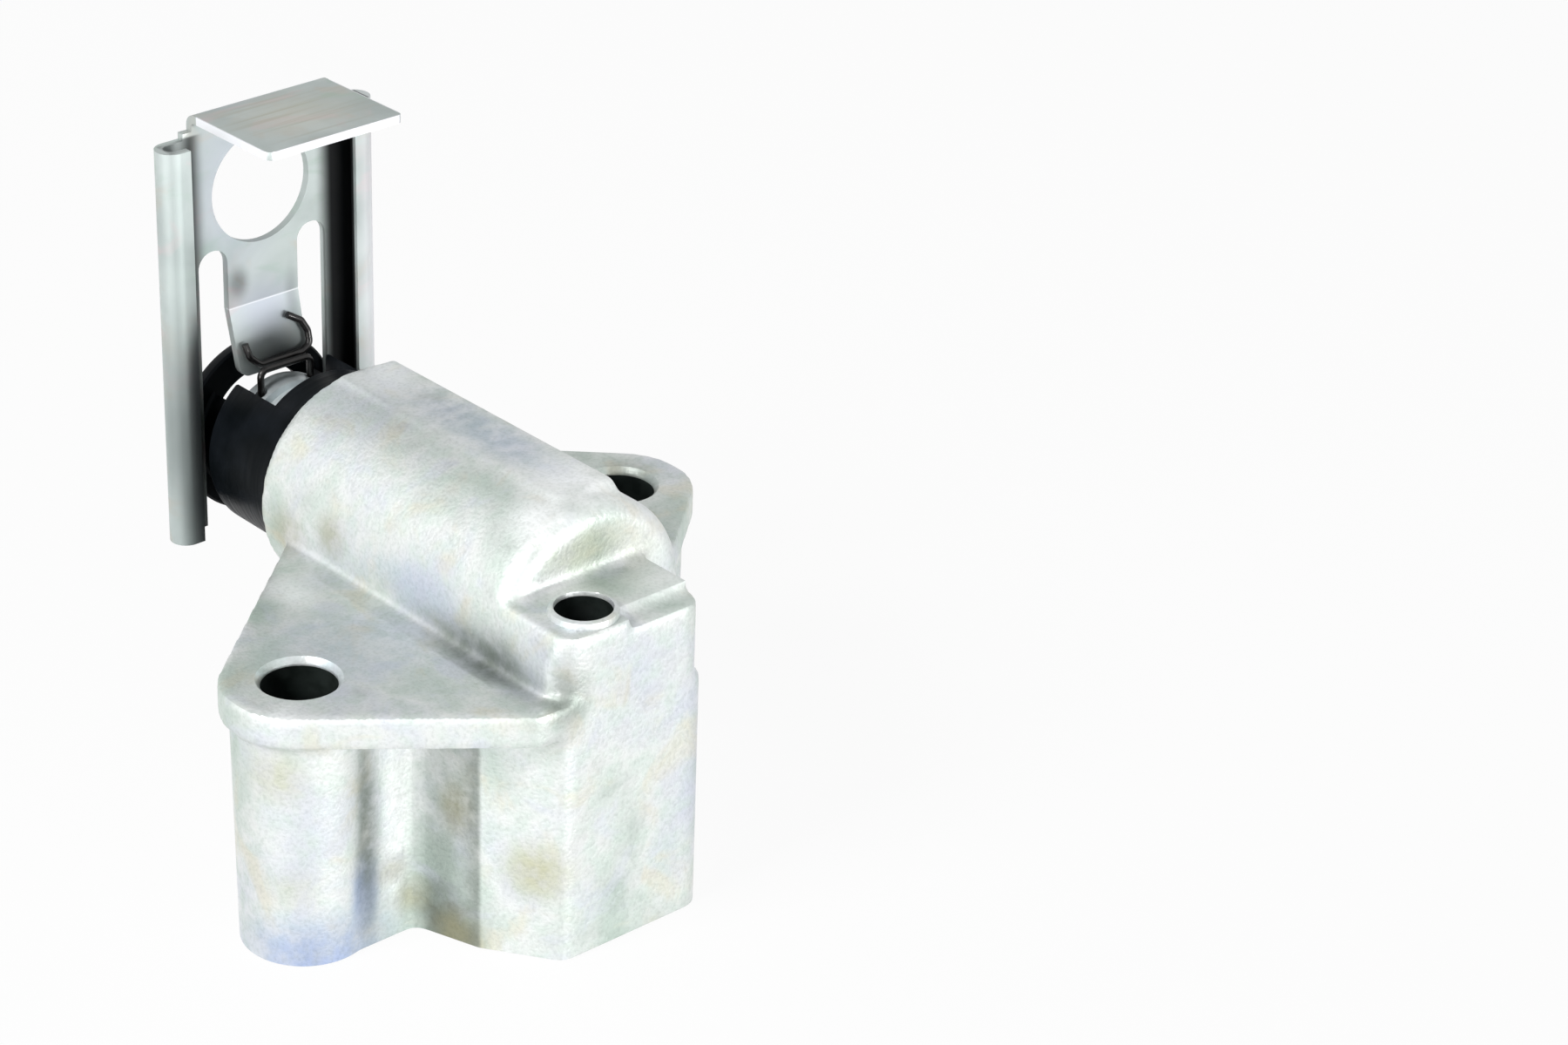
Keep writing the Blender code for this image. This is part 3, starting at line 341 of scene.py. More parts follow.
castLook = {
    "pale": (0.70, 0.72, 0.71),
    "green": (0.46, 0.54, 0.49),
    "lilac": (0.58, 0.61, 0.68),
    "ochre": (0.62, 0.60, 0.50),
    "blue": (0.33, 0.40, 0.58),
    "olive": (0.46, 0.46, 0.32),
    # the next colour is for painted highlights, and the one after it for painted shade
    "highlight": (0.92, 0.94, 0.94),
    "shade": (0.13, 0.15, 0.13),
    "stain": (0.30, 0.28, 0.16),
    "speckle": (0.84, 0.85, 0.84),
    "metallic": 0.60,
    "roughness": 0.44,
    "grain": 2300,
    "mottle": 420,
    "patches": 150,
    "cloud": 60,
    # strength and depth in millimetres
    "grainBump": (0.70, 0.07),
    "mottleBump": (0.35, 0.12),
    # each spot is its centre, its reach along x, y and z, and its strength; the first list is painted shade
    # in recesses and creases, beside the plate and on faces turned from the lamps
    "shadeSpots": [
        ((-27.3, -6.6, 15), (2.5, 2.6, 24), 0.9), ((-19.9, -9.6, 12), (3, 4, 20), 0.35),
        ((-13.0, -10, 31.5), (3.5, 12, 7), 0.8), ((-12.5, -13, 33), (4, 6, 5), 0.6),
        ((2, -12.5, 43), (8, 2, 3.5), 0.08), ((-11.5, -21.5, 34), (4, 4, 6), 0.4),
        ((9.5, 22, 44), (5, 30, 6), 0.25), ((2, 18, 48), (5, 12, 1.5), 0.12),
        ((-12.5, -19, 31), (5, 7, 6), 0.5), ((2, -13, 39.6), (8, 6, 1.5), 0.30),
        ((-12.9, -4, 33), (2.5, 11, 3.2), 0.5), ((28.6, 15.5, 32.1), (4, 5, 2), 0.35),
        ((-11.8, -22.8, 33), (4, 4, 4.5), 0.30), ((-20.8, -3, 11), (2, 3, 15), 0.35),
        ((-19.7, -10, 2.5), (2.8, 4.5, 7), 1.0), ((-19.7, -11.5, 1), (2.8, 4.5, 5), 1.0)],
    "stains": [
        ((-13, 26, 33), (5, 5, 5), 0.5), ((-13, 18, 36), (4, 4, 4), 0.5),
        ((-19, -12.2, 17), (2.8, 3.4, 5), 0.8), ((-18.8, -12.5, 1), (3, 5.5, 5), 0.95),
        ((-23.8, -7, 8.5), (3.4, 2.2, 2.6), 0.45), ((-21.4, -7.4, 4.5), (3.2, 3, 3.6), 0.6)],
    "oliveSpots": [
        ((-14.4, -20.3, 11), (6, 5.5, 5.5), 0.9), ((-37, -4, 24), (4, 5, 5), 0.6),
        ((-1, -12.5, 43), (9, 2, 4), 0.5), ((6, -12.5, 41), (5, 3, 4), 0.3), ((-36, -5, 10), (4, 4, 4), 0.3)],
    # painted highlights on the strip, the barrel's end, the pad, the fillets, the plate and an ear's rim,
    # where light burns them white
    "highlightSpots": [
        ((2, -7, 48), (8, 11, 4), 1.0), ((2, 32, 48), (7, 9, 3), 0.8), ((-22, 18, 30), (8, 9, 1.5), 0.5),
        ((7, -11, 42), (7, 5, 8), 0.5), ((5, -18, 39.6), (7, 6, 2), 0.5),
        ((-23.5, -7, 14), (2.2, 1.5, 16), 0.7), ((-5, -9.5, 46.5), (6, 7, 4), 0.9),
        ((1, 27, 48), (6, 9, 3), 0.7), ((-20.4, 16.3, 32.1), (4, 7, 2), 0.7),
        ((-4.8, -14.5, 40), (4, 3, 3), 0.8), ((-36.3, -5.4, 32.1), (3, 3, 2), 0.8)],
    "blueSpots": [
        ((-34, -6, 0.5), (14, 10, 8.5), 0.95), ((-27.8, -6, 8), (3, 5, 7), 0.9),
        ((-27.8, -7, 7), (2.6, 3.5, 6), 0.8), ((-24, 2, 32), (12, 12, 2), 0.25),
        ((2, 10, 48), (5, 22, 2), 0.4), ((-13, 3, 36), (3, 12, 4), 0.30)],
    # bands of painted shade beside an edge: lowest and highest |x|, y and z, how far each side fades,
    # strength
    "shadeBands": [
        ((17.4, -14.9, -1), (21.6, -10, 26), ((0.3, 1), (0.3, 4.5), (1, 1)), 0.48),
        ((17.4, -14.9, -1), (21.6, -13.6, 26), ((0.3, 1), (0.3, 1.2), (1, 1)), 0.44),
        ((11.6, -13, 28), (16, 22, 31.5), ((0.3, 0.3), (2, 8), (0.5, 3)), 0.43),
        ((11.2, -14, 28), (16, -6, 32.5), ((0.3, 0.3), (1.5, 8), (0.5, 3.5)), 0.60)],
}
# the lists of spots in the order in which they are laid on, with the colour of each
castLayers = (("highlightSpots", "highlight"), ("blueSpots", "blue"), ("oliveSpots", "olive"), ("shadeSpots", "shade"),
              ("stains", "stain"))


def castAlloy():
    look = castLook
    mat, shader, coords = startMaterial("castAlloy", look["pale"], look["metallic"], look["roughness"])
    cloud = noiseOn(mat, coords, look["cloud"], detail=4, distortion=0.5)
    mottle = noiseOn(mat, coords, look["mottle"], detail=6)
    grain = noiseOn(mat, coords, look["grain"], detail=3)
    tint = rampOn(mat, cloud, [(0.34, look["green"]), (0.50, look["pale"]), (0.68, look["lilac"])])
    patches = noiseOn(mat, coords, look["patches"], detail=7, distortion=0.6)
    colour = mixOn(mat, rangeOn(mat, mottle, 0.36, 0.72, 0.0, 0.60), tint, look["green"])
    colour = mixOn(mat, rangeOn(mat, patches, 0.54, 0.72, 0.0, 0.65), colour, look["ochre"])
    colour = mixOn(mat, rangeOn(mat, patches, 0.30, 0.46, 0.55, 0.0), colour, look["lilac"])
    patchy = rangeOn(mat, mottle, 0.30, 0.62, 0.6, 1)
    # the spot lists hold painted highlights and painted shade besides the casting's own tones and stains
    for key, name in castLayers:
        for spot, reach, strength in look[key]:
            there = timesOn(mat, nearOn(mat, coords, spot, reach), patchy)
            colour = mixOn(mat, timesOn(mat, there, strength), colour, look[name])
    # bands of painted shade along the flank above the plate and on the web's oblique face
    for low, high, fade, strength in look["shadeBands"]:
        there = timesOn(mat, rangeBox(mat, coords, low, high, fade), patchy)
        colour = mixOn(mat, timesOn(mat, there, strength), colour, look["shade"])
    speckle = rampOn(mat, grain, [(0.30, look["speckle"]), (0.55, (1, 1, 1))])
    colour = mixOn(mat, 0.8, colour, speckle, 'MULTIPLY')
    mat.node_tree.links.new(colour, shader.inputs["Base Color"])
    rough = rangeOn(mat, mottle, 0.3, 0.7, look["roughness"] - 0.08, look["roughness"] + 0.10)
    mat.node_tree.links.new(rough, shader.inputs["Roughness"])
    first = bumpOn(mat, shader, grain, *look["grainBump"])
    bumpOn(mat, shader, mottle, *look["mottleBump"], before=first)
    return mat


sheetLook = {
    "colour": (0.50, 0.55, 0.54),
    "dull": (0.38, 0.43, 0.42),
    "rust": (0.47, 0.45, 0.40),
    # painted shade
    "dark": (0.028, 0.032, 0.034),
    "green": (0.36, 0.46, 0.40),
    "pink": (0.56, 0.47, 0.48),
    "olive": (0.60, 0.58, 0.49),
    "lilac": (0.44, 0.46, 0.55),
    # painted highlight, for the bright edges and the lit right curl
    "highlight": (0.80, 0.81, 0.84),
    "streak": (0.33, 0.34, 0.28),
    # black painted where the insides of the curls lie in shade
    "scale": (0.004, 0.0045, 0.005),
    "roughness": 0.46,
    "metallic": 0.55,
    # gloss of the black painted into the shaded insides of the curls
    "insideShadeGloss": 0.15,
    "grain": 3200,
    "cloud": 90,
    "blotch": 210,
    "stain": 170,
    "drawLines": 900,
    "bump": (0.12, 0.02),
    # centre and reach of the lip, which has streaks, and of the left curl's mouth, where the black painted
    # into the shaded insides of the curls gives way to the plain colour
    "lip": ((0, 41, 76.5), (12, 10, 2)),
    "curlMouth": ((-12.5, 47, 74.5), (3.6, 4, 6.5)),
    "highlightFade": ((0.1, 0.1),) * 3,
}


def sheetSteel(name, stretch, shadows=(), tints=(), insideShade=None, wearAndHighlight=()):
    # shadows are spots of painted shade and tints spots of another colour; the one box is black painted where
    # the insides of the curls lie in shade, and the thin boxes are painted highlights along bright edges
    look = sheetLook
    mat, shader, coords = startMaterial(name, look["colour"], look["metallic"], look["roughness"])
    grainLines = noiseOn(mat, coords, look["grain"], detail=4, stretch=stretch)
    cloud = noiseOn(mat, coords, look["cloud"], detail=4, distortion=0.5)
    blotch = noiseOn(mat, coords, look["blotch"], detail=5, distortion=0.8)
    colour = rampOn(mat, cloud, [(0.36, look["dull"]), (0.62, look["colour"])])
    colour = mixOn(mat, rangeOn(mat, blotch, 0.52, 0.72, 0, 0.6), colour, look["rust"])
    stains = noiseOn(mat, coords, look["stain"], detail=6, distortion=1.0, stretch=(0.5, 1, 1))
    colour = mixOn(mat, rangeOn(mat, stains, 0.30, 0.44, 0.7, 0), colour, look["green"])
    colour = mixOn(mat, rangeOn(mat, stains, 0.56, 0.70, 0, 0.6), colour, look["pink"])
    lines = noiseOn(mat, coords, look["drawLines"], detail=5, stretch=(0.03, 1, 1))
    onLip = nearOn(mat, coords, *look["lip"])
    colour = mixOn(mat, timesOn(mat, onLip, rangeOn(mat, lines, 0.48, 0.66, 0, 0.9)), colour, look["streak"])
    for key, spot, reach, strength in tints:
        colour = mixOn(mat, timesOn(mat, nearOn(mat, coords, spot, reach), strength), colour, look[key])
    # painted shade, with a painted reflection of the black plunger on the left curl
    for spot, reach, strength in shadows:
        colour = mixOn(mat, timesOn(mat, nearOn(mat, coords, spot, reach), strength), colour, look["dark"])
    # painted highlights along bright edges
    for low, high in wearAndHighlight:
        colour = mixOn(mat, rangeBox(mat, coords, low, high, look["highlightFade"]), colour, look["highlight"])
    # black painted where the insides of the curls lie in shade, without metal and with little gloss, lifted
    # back to the plain colour at the left curl's mouth
    if insideShade:
        inShade = rangeBox(mat, coords, *insideShade)
        colour = mixOn(mat, inShade, colour, look["scale"])
        colour = mixOn(mat, nearOn(mat, coords, *look["curlMouth"]), colour, look["colour"])
        mat.node_tree.links.new(rangeOn(mat, inShade, 0, 1, look["metallic"], 0), shader.inputs["Metallic"])
        shader.inputs["Specular IOR Level"].default_value = look["insideShadeGloss"]
    mat.node_tree.links.new(colour, shader.inputs["Base Color"])
    rough = rangeOn(mat, cloud, 0.3, 0.7, look["roughness"] - 0.04, look["roughness"] + 0.08)
    mat.node_tree.links.new(rough, shader.inputs["Roughness"])
    bumpOn(mat, shader, grainLines, *look["bump"])
    return mat


blackLook = {"colour": (0.0024, 0.0034, 0.0042), "wearAndHighlight": (0.008, 0.010, 0.013), "roughness": 0.40,
             "gloss": 0.05, "turnLines": 2400, "cloud": 160, "bump": (0.15, 0.02)}


def blackSteel():
    look = blackLook
    mat, shader, coords = startMaterial("blackSteel", look["colour"], 0.0, look["roughness"])
    shader.inputs["Specular IOR Level"].default_value = look["gloss"]
    lines = noiseOn(mat, coords, look["turnLines"], detail=4, stretch=(0.04, 1, 0.04))
    cloud = noiseOn(mat, coords, look["cloud"], detail=5)
    colour = rampOn(mat, cloud, [(0.40, look["colour"]), (0.72, look["wearAndHighlight"])])
    mat.node_tree.links.new(colour, shader.inputs["Base Color"])
    rough = rangeOn(mat, lines, 0.3, 0.7, look["roughness"] - 0.08, look["roughness"] + 0.10)
    mat.node_tree.links.new(rough, shader.inputs["Roughness"])
    bumpOn(mat, shader, lines, *look["bump"])
    return mat


turnedLook = {"dulling": 0.72, "turnLines": 2000, "cloud": 220, "bump": (0.15, 0.015)}


def turnedSteel(name, colour, roughness, metallic):
    look = turnedLook
    mat, shader, coords = startMaterial(name, colour, metallic, roughness)
    lines = noiseOn(mat, coords, look["turnLines"], detail=4, stretch=(0.05, 1, 0.05))
    cloud = noiseOn(mat, coords, look["cloud"], detail=4)
    dull = tuple(part * look["dulling"] for part in colour)
    mat.node_tree.links.new(rampOn(mat, cloud, [(0.38, dull), (0.62, colour)]), shader.inputs["Base Color"])
    rough = rangeOn(mat, lines, 0.3, 0.7, roughness - 0.06, roughness + 0.10)
    mat.node_tree.links.new(rough, shader.inputs["Roughness"])
    bumpOn(mat, shader, lines, *look["bump"])
    return mat


wireLook = {"colour": (0.03, 0.027, 0.025), "dark": (0.012, 0.011, 0.011), "light": (0.022, 0.020, 0.019),
            "metallic": 0.6, "roughness": 0.30, "coat": 0.35, "coatRoughness": 0.20, "blotch": 900}


def darkWire():
    look = wireLook
    mat, shader, coords = startMaterial("darkWire", look["colour"], look["metallic"], look["roughness"])
    blotch = noiseOn(mat, coords, look["blotch"], detail=5)
    colour = rampOn(mat, blotch, [(0.40, look["dark"]), (0.70, look["light"])])
    mat.node_tree.links.new(colour, shader.inputs["Base Color"])
    rough = rangeOn(mat, blotch, 0.3, 0.7, look["roughness"] - 0.02, look["roughness"] + 0.06)
    mat.node_tree.links.new(rough, shader.inputs["Roughness"])
    shader.inputs["Coat Weight"].default_value = look["coat"]
    shader.inputs["Coat Roughness"].default_value = look["coatRoughness"]
    return mat


# near black painted on the walls of the holes, where they lie in shade
boreLook = {"colour": (0.020, 0.026, 0.024), "roughness": 0.4, "dulling": 0.55, "gloss": 0.10, "cloud": 420,
            "bump": (0.2, 0.03)}


def holeShade():
    look = boreLook
    mat, shader, coords = startMaterial("holeShade", look["colour"], 0.0, look["roughness"])
    shader.inputs["Specular IOR Level"].default_value = look["gloss"]
    cloud = noiseOn(mat, coords, look["cloud"], detail=5)
    dull = tuple(part * look["dulling"] for part in look["colour"])
    colour = rampOn(mat, cloud, [(0.38, dull), (0.62, look["colour"])])
    mat.node_tree.links.new(colour, shader.inputs["Base Color"])
    rough = rangeOn(mat, cloud, 0.3, 0.7, look["roughness"] - 0.08, look["roughness"] + 0.08)
    mat.node_tree.links.new(rough, shader.inputs["Roughness"])
    bumpOn(mat, shader, cloud, *look["bump"])
    return mat


# painted shade on the tongue's lower part and on the left curl, with a painted reflection of the black
# plunger on its right half, and black painted into the shaded insides of the curls
railTintsAndLight = {
    "shadows": [
        ((1.5, 45.5, 42.5), (9, 7, 10), 0.98), ((-10.8, 44.2, 28), (4.6, 5, 44), 1.0),
        ((-3.6, 48, 54), (2.2, 2, 3), 0.55), ((4, 48, 50), (1.5, 2, 6), 0.3),
        ((-11, 45, 47), (3.2, 4, 10), 1.0), ((-11.6, 45, 42), (2.0, 3, 12), 1.0),
        ((-11, 45, 30), (2.6, 3.5, 14), 0.9), ((-14.2, 45.6, 40), (2.5, 3, 20), 0.45)],
    # the dull tints on the left curl and the tongue are painted shade, and the lilac on the tongue is its own
    # tone darkened as painted shade; the pale tint on the right curl is a painted highlight; the olive lip
    # and the lilac web keep the sheet's own colour
    "tints": [
        ("olive", (0, 41, 76.5), (11, 9, 2), 0.35), ("dull", (-14, 45, 45), (3, 4, 45), 0.75),
        ("lilac", (-4, 48, 66), (9, 3, 16), 0.5), ("highlight", (15, 46, 50), (4, 5, 44), 0.95),
        ("dull", (0, 47, 48), (8, 4, 8), 0.7), ("lilac", (0, 47.5, 50), (7, 3, 6), 0.6)],
    "insideShade": ((8.9, 45.5, 20), (14.0, 48.4, 73.9), ((1.3, 0.18), (0.18, 0.18), (0.18, 0.18))),
    # painted highlights along two edges of the lip, and along the bend of the tongue
    "wearAndHighlight": (((9.3, 30, 74), (9.8, 47, 78)), ((-1, 32.6, 74), (9.8, 33.1, 78)),
             ((-1, 46, 50.95), (5.2, 48.6, 51.03))),
}

castMat = castAlloy()
boreMat = holeShade()
railMat = sheetSteel("sheetSteel", stretch=(1, 1, 0.06), **railTintsAndLight)
blackMat = blackSteel()
plugMat = turnedSteel("plugSteel", colour=(0.84, 0.91, 0.93), roughness=0.38, metallic=0.50)
valveMat = turnedSteel("valveSteel", colour=(0.55, 0.58, 0.60), roughness=0.22, metallic=1.0)
wireMat = darkWire()
cageMat = sheetSteel("cageSteel", stretch=(1, 1, 1))
print("materials made")


def recolour(ob, mat, wanted):
    # faces whose middle, in millimetres, is wanted get a second material
    ob.data.materials.append(mat)
    for face in ob.data.polygons:
        if wanted(face.center / mm):
            face.material_index = len(ob.data.materials) - 1


def dress(ob, mat, body, slot, *replaced):
    ob.data.materials.clear()
    ob.data.materials.append(mat)
    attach(ob, body)
    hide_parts(*replaced)


# housing

# millimetres; a corner is (across, along) or has its radius as a third number
housing = {
    "plateTop": 32.1, "plateBottom": 28.0, "plateFront": 27.0, "plateJoin": 11, "plateRearCorner": 2.0,
    "plateFrontCorner": 4.0,
    "earRadius": 8.8, "leftEar": (-30.8, 0.0), "rightEar": (25.4, 13.3),
    "leftEdges": (130, 232), "rightEdges": (-50, 46),
    "columnRadius": 7.3, "columnDraft": 0.4,
    "rearFace": -22.799,
    # the lower body's corners: across and radius of the two on the rear face, then all the way round
    "rearCorners": ((-12.5, 2.0), (6.8, 2.8)),
    "lowerOutline": [
        (12.7, -9.0, 4), (12.7, 6.4, 2), (25.4, 8.7), (25.4, 17.9), (12.7, 20.2, 2), (12.7, 24.0, 2),
        (-12.7, 24.0, 2), (-12.7, 9.0, 2), (-30.8, 5.0), (-30.8, -7.0), (-20.8, -7.0, 1.6),
        (-18.1, -14.8, 1.2)],
    "barrelRadius": 13.2, "barrelFront": 31.4, "barrelEnd": -12.3, "endRounding": 2.2,
    "fillet": 1.2, "filletLeft": -10.0, "filletRight": 5.8,
    "stripLeft": -2.0, "stripRight": 6.2, "stripTop": 47.75, "stripBottom": 40,
    "stripLeftRounding": 0.3, "stripRightRounding": 0.5,
    "stripSetback": 0.4, "stripDrop": 1.8, "stripSlope": 6.0,
    # the pad's edges further left than padRim are rounded
    "padHeight": 39.6, "padRight": 6.8, "padRounding": 2.6, "padRim": -11,
    "blockFront": -8.0, "blockBottom": 27.5,
    "blockPlan": {"left": -13.3, "front": -7, "leftCorner": 4.0, "rightCorner": 2.5},
    "ledge": {"left": -3.6, "front": -19.9, "height": 38.5, "corner": 1.0},
    "gallery": (-6.6, -18.4),
    # turned cuts and the collar, as (radius, height) points
    "collarProfile": [(0, 40.4), (3.5, 40.4), (3.8, 40.25), (3.9, 39.9), (3.95, 38.6), (0, 38.6)],
    "boltProfile": [(0, 34), (6.5, 34), (4.85, 32.15), (4.3, 31.5), (4.25, 31.2), (4.25, -2), (0, -2)],
    "galleryProfile": [
        (0, 42), (3.6, 42), (3.25, 40.2), (3.2, 39.9), (3.2, 32.8), (2.2, 32.8), (2.2, -2), (0, -2)],
    "boreProfile": [
        (0, 33), (12.2, 33), (11.8, 31.45), (11.1, 30.7), (11.1, -9.5), (8.5, -9.5), (8.5, -10.5),
        (0, -10.5)],
    # radius and height below which a hole's wall takes painted shade
    "boltDark": (4.6, 31.3), "galleryDark": (3.35, 39.2),
    "voxel": 0.45, "softening": 7,
    # how far pieces run into each other, and cutting pieces past what they cut
    "overlap": 1,
}


def earArc(place, edges, radius, steps=24):
    # edges are the directions, in degrees, at which the plate's straight edges leave the ear
    arc = []
    for step in range(steps + 1):
        angle = math.radians(edges[0] + (edges[1] - edges[0]) * step / steps)
        arc.append((place[0] + radius * math.cos(angle), place[1] + radius * math.sin(angle)))
    return arc


def atX(point, normal, x):
    # where a line through point, square to the direction normal, reaches x
    return (x, point[1] - (x - point[0]) / math.tan(math.radians(normal)))


def makePlate():
    h = housing
    left = earArc(h["leftEar"], h["leftEdges"], h["earRadius"])
    right = earArc(h["rightEar"], h["rightEdges"], h["earRadius"])
    rearX = left[-1][0] + (left[-1][1] - h["rearFace"]) * math.tan(math.radians(h["leftEdges"][1]))
    frontX = right[-1][0] + (right[-1][1] - h["plateFront"]) * math.tan(math.radians(h["rightEdges"][1]))
    points = [atX(left[0], h["leftEdges"][0], -h["plateJoin"])] + left
    points += [(rearX, h["rearFace"], h["plateRearCorner"]), (0, h["rearFace"])]
    points += [(0, atX(right[0], h["rightEdges"][0], 0)[1])] + right
    points += [(frontX, h["plateFront"], h["plateFrontCorner"]), (h["plateJoin"], h["plateFront"])]
    return outlineSolid("plate", rounded(points), h["plateBottom"], h["plateTop"])


def makeLowerBody():
    h = housing
    points = [(x, h["rearFace"], corner) for x, corner in h["rearCorners"]] + h["lowerOutline"]
    return outlineSolid("lowerBody", rounded(points), -h["overlap"], h["plateBottom"] + h["overlap"])


def makeBarrel():
    h = housing
    r, end, curve = h["barrelRadius"], h["barrelEnd"], h["endRounding"]
    turns = [math.radians(90 * step / 12) for step in range(13)]
    profile = [(0, h["barrelFront"]), (r, h["barrelFront"])]
    profile += [(r - curve * (1 - math.cos(turn)), end + curve * (1 - math.sin(turn))) for turn in turns]
    profile.append((0, end))
    tube = turnedPiece("barrelTube", profile)
    left, right, bottom, top = h["stripLeft"], h["stripRight"], h["stripBottom"], h["stripTop"]
    face = [(left, bottom), (right, bottom), (right, top, h["stripRightRounding"]),
            (left, top, h["stripLeftRounding"])]
    strip = outlineSolid("topStrip", rounded(face), end + curve, h["barrelFront"] - h["stripSetback"], 'Y')
    # its rear end slopes down to the rounded end of the barrel
    trim(strip, (0, end + curve, top - h["stripDrop"]), (0, -h["stripDrop"], h["stripSlope"]))
    pad, fillet, over = h["padHeight"], h["fillet"], h["overlap"]
    section = [(end + over, pad - over), (end + over, pad + fillet)]
    section += [(end - fillet * (1 - math.cos(turn)), pad + fillet * (1 - math.sin(turn))) for turn in turns]
    section.append((end - fillet, pad - over))
    return [tube, strip, outlineSolid("endFillet", rounded(section), h["filletLeft"], h["filletRight"], 'X')]


def rimEdges(block, wanted):
    # selects the edges whose two ends, in millimetres, are wanted, and stays in edit mode
    pick(block)
    bpy.ops.object.mode_set(mode='EDIT')
    bpy.ops.mesh.select_mode(type='EDGE')
    bpy.ops.mesh.select_all(action='DESELECT')
    work = bmesh.from_edit_mesh(block.data)
    for edge in work.edges:
        edge.select = all(wanted(vert.co / mm) for vert in edge.verts)
    bmesh.update_edit_mesh(block.data)


def makeRearBlock():
    h = housing
    rear, top, plan, ledge = h["rearFace"], h["padHeight"], h["blockPlan"], h["ledge"]
    block = roundBar("rearBlock", h["barrelRadius"], rear, h["blockFront"], (0, axisHeight), 'Y', 96)
    # pad, right side and underside are cut straight, then the rim and the corners are rounded
    trim(block, (0, 0, top), (0, 0, 1))
    trim(block, (h["padRight"], 0, 0), (1, 0, 0))
    trim(block, (0, 0, h["blockBottom"]), (0, 0, -1))
    rimEdges(block, lambda co: abs(co.z - top) < 0.05 and co.x < h["padRim"])
    bpy.ops.mesh.bevel(offset=h["padRounding"] * mm, segments=6, clamp_overlap=True)
    bpy.ops.object.mode_set(mode='OBJECT')
    right, over = h["padRight"] + 0.1, h["overlap"]
    corners = [(plan["left"], plan["front"]), (plan["left"], rear, plan["leftCorner"]),
               (right, rear, plan["rightCorner"]), (right, plan["front"])]
    around = outlineSolid("blockPlan", rounded(corners), h["blockBottom"] - over, top + over)
    combine(block, around, 'INTERSECT')
    corners = [(ledge["left"], rear - over), (right + over, rear - over), (right + over, ledge["front"]),
               (ledge["left"], ledge["front"], ledge["corner"])]
    return combine(block, outlineSolid("ledgeCut", rounded(corners), ledge["height"], top + over))


def makeHousing():
    h = housing
    ears = {"left": h["leftEar"], "right": h["rightEar"]}
    parts = [makeLowerBody(), makePlate()]
    low, high = -h["overlap"], h["plateBottom"] + h["overlap"]
    for side, place in ears.items():
        parts.append(roundBar(side + "Column", h["columnRadius"], low, high, place,
                              topRadius=h["columnRadius"] + h["columnDraft"]))
    parts += makeBarrel()
    parts.append(makeRearBlock())
    casting = joinUp(parts)
    casting.name = "housingCasting"
    # the pieces flow into one skin, as the metal does in its mould
    mod = casting.modifiers.new("oneSkin", 'REMESH')
    mod.mode = 'VOXEL'
    mod.voxel_size = h["voxel"] * mm
    applyModifier(casting, mod)
    mod = casting.modifiers.new("soften", 'SMOOTH')
    mod.factor = 0.5
    mod.iterations = h["softening"]
    applyModifier(casting, mod)
    trim(casting, (0, 0, 0), (0, 0, -1))
    combine(casting, turnedPiece("galleryCollar", h["collarProfile"], 'Z', h["gallery"], 48), 'UNION')
    for side, place in ears.items():
        combine(casting, turnedPiece(side + "Hole", h["boltProfile"], 'Z', place, 64))
    combine(casting, turnedPiece("galleryDrill", h["galleryProfile"], 'Z', h["gallery"], 48))
    combine(casting, turnedPiece("plungerBore", h["boreProfile"]))
    smoothShade(casting, 32)
    dress(casting, castMat, "housing", "cast_alloy", "housing")
    # the walls of the holes take painted shade
    holes = [(place, *h["boltDark"]) for place in ears.values()] + [(h["gallery"], *h["galleryDark"])]
    recolour(casting, boreMat, lambda co: any(
        math.hypot(co.x - place[0], co.y - place[1]) < reach and co.z < top for place, reach, top in holes))
    print("housing", len(casting.data.polygons), "faces")


makeHousing()


# plunger and its plug

plunger = {
    "radius": 11.0, "back": 4.7, "bore": 8.3, "boreEnd": 41.8, "front": 45.0, "neck": 8.8, "neckBore": 8.05,
    "headBack": 49.3, "headStep": 47.0, "headFront": 51.1, "headBore": 7.2,
    "grooveBack": 10.0, "grooveFront": 12.0, "grooveSlope": 0.4, "grooveDepth": 0.25,
    "notch": 6.6, "notchBack": 37.0, "notchFloor": 36.9, "notchTop": 50, "bevel": 0.12,
}


def makePlunger():
    p = plunger
    r, front, head, tip, bore = p["radius"], p["front"], p["headBack"], p["headFront"], p["headBore"]
    neck, neckBore, deep, slope = p["neck"], p["neckBore"], r - p["grooveDepth"], p["grooveSlope"]
    tube = turnedPiece("plungerTube", [
        (bore, tip - 0.3), (bore + 0.3, tip), (r - 0.8, tip), (r - 0.2, tip - 0.2), (r, tip - 0.7),
        (r, head + 0.25), (r - 0.25, head), (neck + 0.25, head), (neck, head - 0.25), (neck, front + 0.25),
        (neck + 0.25, front), (r - 0.7, front), (r - 0.2, front - 0.2), (r, front - 0.7),
        (r, p["grooveFront"]), (deep, p["grooveFront"] - slope), (deep, p["grooveBack"] + slope),
        (r, p["grooveBack"]), (r, p["back"] + 0.7), (r - 0.6, p["back"]), (p["bore"], p["back"]),
        (p["bore"], p["boreEnd"]), (neckBore, p["boreEnd"]), (neckBore, p["headStep"]),
        (bore, p["headStep"]), (bore, tip - 0.3)])
    side, floor, top = p["notch"], p["notchFloor"], p["notchTop"]
    notch = rounded([(-side, floor), (side, floor), (side, top), (-side, top)])
    combine(tube, outlineSolid("notchCut", notch, p["notchBack"], head, 'Y'))
    bevelEdges(tube, p["bevel"], angle=50)
    smoothShade(tube, 30)
    dress(tube, blackMat, "plunger", "black_steel", "plunger")


